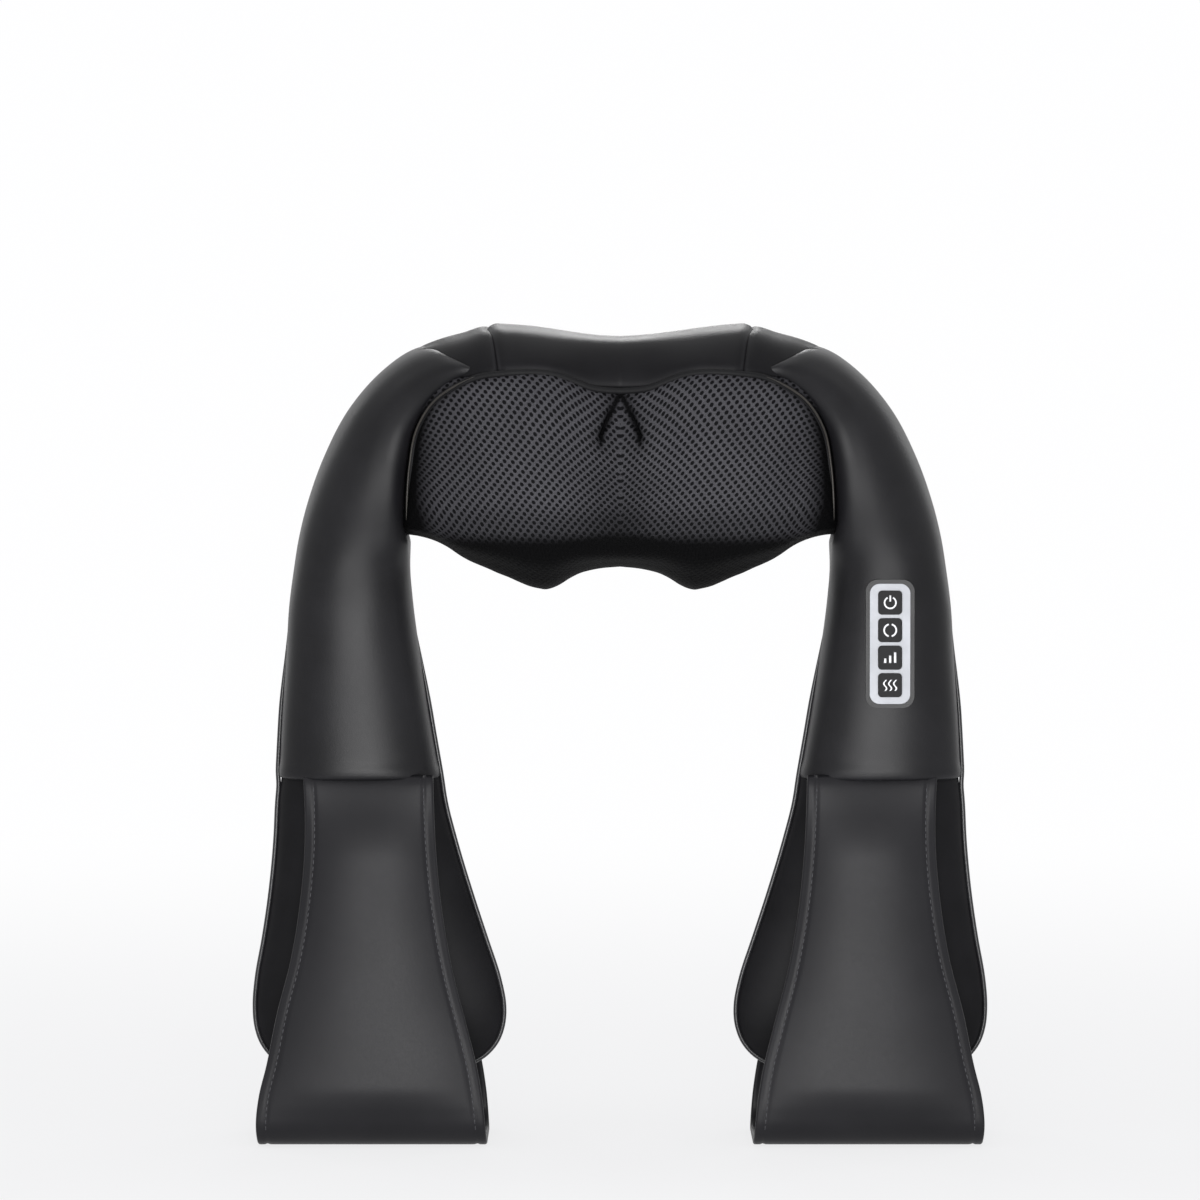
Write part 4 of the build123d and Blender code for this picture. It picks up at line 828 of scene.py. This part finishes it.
def edge_route():
    """Line of the piping: down the outer edge of arm and pad, round the tip and up the inner edge.

    Each point is then the mean of its five neighbours, weighed 1, 2, 3, 2, 1.
    """
    arm, _ = arm_stations(np.linspace(0.36, 0.01, 40))
    z = np.concatenate([np.linspace(196, 60, 60), TIP_LOW + TIP_RISE * np.cos(np.linspace(0.04, 1, 30) * np.pi / 2)])
    pad = pad_stations(z)
    outer = np.concatenate([arm[:, 2:4], np.stack([pad[:, 0], z], axis=1)]) + [PIPING_OUT, 0]
    inner = np.concatenate([arm[:, 0:2], np.stack([pad[:, 1], z], axis=1)]) - [PIPING_OUT, 0]
    flat = np.concatenate([outer, inner[::-1]])
    line = np.stack([flat[:, 0], np.zeros(len(flat)), flat[:, 1]], axis=1)
    wide = held(evenly(line, 2.2))
    return np.stack([np.convolve(column, np.array([1, 2, 3, 2, 1]) / 9, "valid") for column in wide.T], axis=1)


def piping():
    """Round cord in vinyl along the edge, drawn in to nothing at its upper ends."""
    path = edge_route()
    number = np.arange(len(path))
    grown = ramp(np.minimum(number, number[::-1]), -4, 26)
    path = path - [1, 0, 0] * ((1 - grown) * 1.6 * np.where(path[:, 0] > 145, 1, -1))[:, None]
    return capped(tube(path, PIPING_RADIUS * grown)) * MM


# Hand straps: a folded band in side view, as wide as its front outline at each height

# Z and X of its two edges, then Y and Z of its front from under the arm down to where it runs upright
STRAP_OUTER = np.array([
    (-3, 196.4), (1, 196.8), (14, 197.2), (29, 195.4), (43.5, 191.8), (72.6, 185.9), (102, 178.4), (137.5, 173),
    (161, 171.2), (185, 171.2), (200, 172),
])
STRAP_INNER = np.array([
    (-3, 73.6), (3, 74.1), (24, 76), (42, 78.9), (65.5, 84.7), (94.6, 92.3), (131.5, 98.8), (161, 101.8),
    (185, 103), (200, 103.4),
])
STRAP_Y = 41
STRAP_SIDE = np.array([
    (-21.5, 202), (-24, 196), (-25.5, 178), (-28.5, 150), (-32.2, 120), (-35.2, 90), (-37.9, 60), (-39.8, 38),
    (-STRAP_Y, 22),
])
STRAP_UPRIGHT_Z = 20
STRAP_WALL = 2.5
STRAP_BEND = 15
STRAP_CROWN = 6.5
STITCH_IN = 4.2
STITCH_PITCH, STITCH_LENGTH, STITCH_RADIUS = 3.6, 2.5, 0.34


def strap_route():
    """Side line of the loop's outer face: down the front, a bend, along the floor, a bend and up the back."""
    front = smooth(np.arange(len(STRAP_SIDE)), STRAP_SIDE, np.linspace(0, len(STRAP_SIDE) - 1, 90))
    turn = np.linspace(0, np.pi / 2, 16)
    corner = np.array([STRAP_BEND - STRAP_Y, STRAP_BEND])
    bend = corner - STRAP_BEND * np.stack([np.cos(turn), np.sin(turn)], axis=1)
    front = np.concatenate([front, [(-STRAP_Y, STRAP_UPRIGHT_Z)], bend])
    floor = np.stack([np.linspace(corner[0], -corner[0], 22)[1:-1], np.zeros(20)], axis=1)
    return np.concatenate([front, floor, (front * [-1, 1])[::-1]])


def strap_frame():
    """Outer face line, its inward normal, and the two edges of the band at each of its points."""
    line = evenly(np.insert(strap_route(), 0, 0, axis=1), 2.2)[:, 1:]
    tangent = unit(np.gradient(line, axis=0))
    inward = np.stack([-tangent[:, 1], tangent[:, 0]], axis=1)
    outer = smooth(STRAP_OUTER[:, 0], STRAP_OUTER[:, 1], line[:, 1])
    inner = smooth(STRAP_INNER[:, 0], STRAP_INNER[:, 1], line[:, 1])
    return line, inward, inner, outer


def strap_surface(share, depth):
    """Point of the band at a share of its width and a depth under its outer face.

    Its width bows out by the power curve 1 - |2 share - 1|^2.3, with a groove along each stitch line.
    """
    line, inward, inner, outer = strap_frame()
    share = np.broadcast_to(share, (len(line), np.shape(share)[-1]))
    x = inner[:, None] + (outer - inner)[:, None] * share
    upright = ramp(line[:, 1], 2, 34) * ramp(206 - line[:, 1], 0, 50)
    crown = -STRAP_CROWN * (1 - np.abs(2 * share - 1) ** 2.3) * upright[:, None]
    from_edge = (0.5 - np.abs(share - 0.5)) * (outer - inner)[:, None]
    groove = 0.55 * near(from_edge - STITCH_IN, 0.9)
    place = np.stack([x, line[:, :1] + 0 * x, line[:, 1:] + 0 * x], axis=-1)
    wave = 0.5 * ripples(place, 80, 31) * ramp(line[:, 1], 2, 20)[:, None]
    pushed = depth + crown + groove + wave
    y, z = line[:, :1] + inward[:, :1] * pushed, line[:, 1:] + inward[:, 1:] * pushed
    return np.stack([x, y, np.maximum(z, 0)], axis=-1)


def strap_band():
    """Right strap: outer face, rounded edge, inner face and rounded edge, carried along the loop."""
    share = (1 - np.cos(np.linspace(0, np.pi, 64))) / 2
    share = 0.35 * share + 0.65 * np.linspace(0, 1, 64)
    face = strap_surface(share, 0)
    under = strap_surface(share[::-1], STRAP_WALL)
    bow = np.linspace(0, np.pi, 7)[1:-1]

    def edge(first, last, outwards):
        """Half round from one face's edge to the other's."""
        middle, arm = (first + last) / 2, (first - last) / 2
        out = np.array([outwards * STRAP_WALL / 2, 0, 0])
        return middle[:, None] + arm[:, None] * np.cos(bow)[:, None] + out * np.sin(bow)[:, None]

    ring = np.concatenate([face, edge(face[:, -1], under[:, 0], 1), under, edge(under[:, -1], face[:, 0], -1)], axis=1)
    column = lengths(ring.swapaxes(0, 1))
    column = np.append(column, column[-1] + 0.6)
    cloth = np.stack(np.broadcast_arrays(column[None, :], held(lengths(face))[:, None]), axis=-1)
    return capped(ring) * MM, cloth * MM


def stitches(path, normal):
    """Small prisms along a path, one for each stitch of the seam and half sunk in the cloth: [stitch, ring, corner]."""
    along = unit(path[1:] - path[:-1])
    side = unit(np.cross(along, normal[:-1]))
    up = np.cross(side, along)
    middle = (path[:-1] + path[1:]) / 2
    steps = np.array([-1, -0.72, 0.72, 1]) * STITCH_LENGTH * MM / 2
    swell = np.array([0.35, 1, 1, 0.35]) * STITCH_RADIUS * MM
    angle = np.linspace(0, 2 * np.pi, 6, endpoint=False)
    spoke = side[:, None, None] * np.cos(angle)[:, None] + up[:, None, None] * np.sin(angle)[:, None]
    return (middle[:, None] + along[:, None] * steps[:, None])[:, :, None] + spoke * swell[:, None, None]


def sewn(name, lines):
    """One mesh of all the stitches along several seam lines, each a path with its normals."""
    quads, cap = corners_of(4, 6, around=True)[0], np.arange(6)
    points, faces = [], []
    for path, normal in lines:
        rings = stitches(path, normal)
        start = (sum(map(len, points)) + np.arange(len(rings)) * 24)[:, None]
        points.append(rings.reshape(-1, 3))
        faces += (start[..., None] + quads).reshape(-1, 4).tolist()
        faces += (start + cap[::-1]).tolist() + (start + 18 + cap).tolist()
    mesh = bpy.data.meshes.new(name)
    mesh.from_pydata(np.concatenate(points).tolist(), [], faces)
    return settled(name, mesh, THREAD, True)


def strap_seams():
    """Stitch lines a little inside both edges of the strap, on its outer face."""
    line, inward, inner, outer = strap_frame()
    normal = np.stack([0 * inward[:, 0], -inward[:, 0], -inward[:, 1]], axis=1)
    standing = (line[:, 1] > 6) & (line[:, 1] < 198)
    share = STITCH_IN / (outer - inner)
    lines = []
    for place in (share, 1 - share):
        path = strap_surface(place[:, None], -0.1)[:, 0]
        for half in (line[:, 0] < 0, line[:, 0] > 0):
            keep = standing & half
            along = lengths(path[keep])
            at = np.arange(0, along[-1], STITCH_PITCH)
            lines.append((read_off(at, along, path[keep]) * MM, read_off(at, along, normal[keep])))
    return lines


# Panel print and trim

def ring_band(radius, half, start, end, steps=40):
    """Flat band about a circle: radius and half width, from one angle to another, clockwise from the top."""
    angle = np.radians(np.linspace(start, end, steps))
    spoke = np.stack([np.sin(angle), np.cos(angle)], axis=1)
    return spoke[:, None] * np.array([radius - half, radius + half])[None, :, None]


def bar(low, high, half):
    """Flat upright bar between two points."""
    low, high = np.asarray(low, float), np.asarray(high, float)
    side = np.array([half, 0])
    return np.stack([[low - side, low + side], [high - side, high + side]])


def wave(x, low, high, half, swing):
    """Flat wavy line rising from low to high."""
    t = np.linspace(0, 1, 28)
    middle = np.stack([x + swing * np.sin(t * 2 * np.pi * 1.15), low + (high - low) * t], axis=1)
    return np.stack([middle - [half, 0], middle + [half, 0]], axis=1)


def icons():
    """Flat signs of the four keys in millimetres about each key's middle."""
    return {
        "power_button": [ring_band(3.1, 0.42, 28, 332, 56), bar((0, 0.6), (0, 4), 0.45)],
        "direction_button": [ring_band(3.3, 0.45, 14, 166), ring_band(3.3, 0.45, 194, 346)],
        "speed_button": [bar((x, -2.8), (x, top), 0.62) for x, top in ((-2.7, -0.4), (0, 1.2), (2.7, 3))],
        "heat_button": [wave(x, -3, 3, 0.42, 0.75) for x in (-2.7, 0, 2.7)],
    }


PRINT_PROUD = 0.05 * MM
PRINT_WALL = 0.12 * MM


def print_icons():
    """Each key's sign as raised print just proud of its front face."""
    for name, bands in icons().items():
        low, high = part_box(name)
        middle = (low + high) / 2
        points, faces = [], []
        for band in bands:
            flat = band.reshape(-1, 2) * MM
            shift = sum(map(len, points))
            depth = np.full(len(flat), low.y - PRINT_PROUD)
            points.append(np.stack([middle.x + flat[:, 0], depth, middle.z + flat[:, 1]], axis=1))
            faces.append(corners_of(len(band), 2)[0] + shift)
        mesh = bpy.data.meshes.new(name + "_sign")
        mesh.from_pydata(np.concatenate(points).tolist(), [], np.concatenate(faces).tolist())
        piece = settled(name + "_sign", mesh, ICON_WHITE, wall=PRINT_WALL)
        if piece.data.polygons[0].normal.y > 0:
            piece.data.flip_normals()
        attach(piece, name)


def on_bridge(x, z):
    """Y of the bridge's front skin at X and Z: read in proportion between the two rows above and below Z."""
    row = np.linspace(ROWS[4], ROWS[9], 160)
    column = np.arange(len(x))
    points = bridge_point(np.broadcast_to(x, (len(row), len(x))), row)
    under = np.clip((points[..., 2] <= z).sum(axis=0) - 1, 0, len(row) - 2)
    low, high = points[under, column], points[under + 1, column]
    share = np.clip((z - low[:, 2]) / (high[:, 2] - low[:, 2]), 0, 1)
    return low[:, 1] + (high[:, 1] - low[:, 1]) * share


def lobe_line():
    """The visible lobed edge, from inside the left arm over both lobes to inside the right one, with its Y."""
    fine = np.concatenate([LOBE_EDGE[:0:-1] * [-1, 1], LOBE_EDGE])
    y = on_bridge(fine[:, 0], fine[:, 1])
    return np.stack([fine[:, 0], y, fine[:, 1]], axis=1)


def binding():
    """Tape bound over the mesh's lobed edge: a flat oval section just under the edge, thin towards both ends."""
    path = lobe_line()
    path = path[path[:, 2] > 352]
    toward = np.array([0, 0, -1.4]) * near(path[:, :1], 75)
    fades = ramp(path[:, 2], 350, 372)
    path = path + toward + np.stack([0 * fades, 0.25 + 1.2 * (1 - fades), 0 * fades], axis=1)
    grid = capped(tube(path, 0.5 + 1.25 * fades, 10, 0.75))
    around = np.linspace(0, 2 * np.pi * 1.75, 11)
    cloth = np.stack(np.broadcast_arrays(around[None, :], lengths(grid)[:, None]), axis=-1)
    return grid * MM, cloth * MM


def mesh_cord():
    """Thin cord in the crease between the right arm and the mesh, drawn in to nothing at both ends."""
    path = lobe_line()
    path = evenly(path[(path[:, 0] > 77) & (path[:, 2] > 341)] + [0.9, -0.9, 0], 2)
    number = np.arange(len(path))
    grown = ramp(number, -1, 9) * ramp(number[::-1], -1, 7)
    return capped(tube(path, 0.08 + 0.5 * grown, 8)) * MM


# Making of the pieces

SKIN_WALL = 1.6 * MM


def declared(piece, slot, *nodes, fill=None):
    """Rides a soft piece on the massager and hides the nodes it stands for. Its slot and fill are not used."""
    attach(piece, ROOT)
    if nodes:
        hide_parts(*nodes)


def dress_bridge():
    """Mesh face, crown, gussets and the tape along the lobed edge."""
    open_skin = {"outside_of": BRIDGE_MIDDLE, "wall": SKIN_WALL}
    # The mesh face carries its painted shade as a mark on its points.
    grid, cloth, pressed = mesh_panel()
    face = skin("mesh_face", grid, AIR_MESH, cloth=cloth, marks={"pressed": pressed}, **open_skin)
    declared(face, "mesh", "mesh_cover", fill=0.8)
    grid, worn = crown_panel()
    crown = skin("crown_leather", grid, SHADED_CROWN_LEATHER, marks={"worn": worn}, **open_skin)
    declared(crown, "leather", "bridge_cover", "crown_foam", fill=0.8)
    grid, worn = gusset()
    for side, mirror in SIDES.items():
        piece = skin(side + "_gusset_leather", grid * mirror, SHADED_CROWN_LEATHER, marks={"worn": worn}, **open_skin)
        declared(piece, "leather", side + "_gusset", fill=0.8)
    grid, cloth = binding()
    declared(skin("lobe_binding", grid, BINDING, around=True, cloth=cloth), "welt", "mesh_welt")


def dress_sides():
    """Each side's arm, pad, edge cord, mesh cord and strap with its stitches. The left cord stands for both pipings."""
    (arm, arm_worn), (pad, pad_worn), (band, cloth) = arm_cover(), pad_shell(), strap_band()
    cord, fine, seams = piping(), mesh_cord(), strap_seams()
    for side, mirror in SIDES.items():
        def made(kind, grid, finish, **maps):
            """Closed skin of this side."""
            return skin(side + kind, grid * mirror, finish, around=True, **maps)

        leather_arm = made("_arm_leather", arm, COVER_LEATHER, marks={"worn": arm_worn})
        declared(leather_arm, "leather", side + "_arm_cover", side + "_arm_foam", fill=0.75)
        leather_pad = made("_pad_leather", pad, SHADED_PAD_LEATHER, marks={"worn": pad_worn})
        declared(leather_pad, "leather", side + "_pad_cover", side + "_pad_foam", fill=0.7)
        pipings = ("edge_piping",) if side == "left" else ()
        declared(made("_edge_cord", cord, PIPING_VINYL), "piping", *pipings)
        declared(made("_mesh_cord", fine, EDGE_CORD), "piping")
        declared(made("_strap", band, STRAP_CLOTH, cloth=cloth), "webbing", side + "_hand_strap")
        lines = [(path * mirror, normal * mirror) for path, normal in seams]
        declared(sewn(side + "_strap_stitches", lines), "webbing")


dress_bridge()
dress_sides()
print_icons()


# Stage and light

def shown(path):
    """1 for rays from the camera and for those mirrored or let through on their way to it."""
    names = ("Is Camera Ray", "Is Glossy Ray", "Is Transmission Ray")
    seen, mirrored, let_through = (path.node("ShaderNodeLightPath", output=name) for name in names)
    return seen.math("MAXIMUM", mirrored).math("MAXIMUM", let_through)


PAPER_WHITE = (0.995, 0.995, 1)
FLOOR_HALF = 9


def pale_floor():
    """Flat grid under the massager: paper that takes its shadow nearby and goes over into plain white further out."""
    side = np.linspace(-FLOOR_HALF, FLOOR_HALF, 13)
    x, y = np.meshgrid(side, side)
    f = Finish("pale_floor")
    at = f.place()
    cloudy = f.noise(at, 2, 2)
    tone = f.blend(cloudy, (0.86, 0.86, 0.875), (0.88, 0.88, 0.893))
    paper = f.node("ShaderNodeBsdfDiffuse", {"Color": tone})
    glow = f.node("ShaderNodeEmission", {"Color": PAPER_WHITE, "Strength": 1})
    far = f.node("ShaderNodeVectorMath", {0: at}, output="Value", operation="LENGTH").step(0.15, 2.2)
    share = shown(f) * (0.76 + far * 0.24)
    f.node_out(f.node("ShaderNodeMixShader", {0: share, 1: paper, 2: glow}))
    floor = skin("floor", np.stack([x, y, 0 * x], axis=-1), f.material, outside_of=(0, 0, -20))


# Lamps: place, size, power and what each is turned to
MIDDLE = (0, 0, 0.27)
LAMPS = {
    "front_box": ((0, -2.7, 0.42), (0.95, 0.8), 46, MIDDLE),
    "low_front_box": ((0, -0.85, 0.04), (0.7, 0.3), 5.5, (0, 0, 0.36)),
    "top_box": ((0, 0.1, 2.4), (2.2, 2), 12, (0, 0, 0)),
    "back_box": ((0, 2.5, 1.5), (0.7, 0.7), 9, MIDDLE),
    "back_left_box": ((-1.9, 2, 1), (0.5, 1.4), 4.5, MIDDLE),
    "back_right_box": ((1.9, 2, 1), (0.5, 1.4), 4.5, MIDDLE),
}


def softbox(name, place, size, power, aim):
    """Rectangular area lamp turned towards a point."""
    data = bpy.data.lights.new(name, "AREA")
    data.shape = "RECTANGLE"
    data.size, data.size_y = size
    data.energy = power
    piece = bpy.data.objects.new(name, data)
    bpy.context.scene.collection.objects.link(piece)
    piece.visible_camera = False
    piece.location = place
    piece.rotation_euler = (Vector(aim) - piece.location).to_track_quat("-Z", "Y").to_euler()


class Studio(Finish):
    """The world's nodes, added in the same way."""

    def __init__(self, name):
        self.world = bpy.data.worlds.new(name)
        self.world.use_nodes = True
        self.tree = self.world.node_tree
        self.tree.nodes.clear()

    def node_out(self, shader):
        out = self.tree.nodes.new("ShaderNodeOutputWorld")
        self.tree.links.new(shader.socket, out.inputs["Surface"])


def light():
    """The lamps, and a world that lights little but is white where it is seen or mirrored."""
    studio = Studio("studio")
    fill = studio.node("ShaderNodeBackground", {"Color": (0.93, 0.95, 1), "Strength": 0.32})
    white = studio.node("ShaderNodeBackground", {"Color": PAPER_WHITE, "Strength": 1})
    studio.node_out(studio.node("ShaderNodeMixShader", {0: shown(studio), 1: fill, 2: white}))
    bpy.context.scene.world = studio.world
    for name, lamp in LAMPS.items():
        softbox(name, *lamp)


pale_floor()
light()
bpy.context.scene.view_settings.view_transform = "Standard"
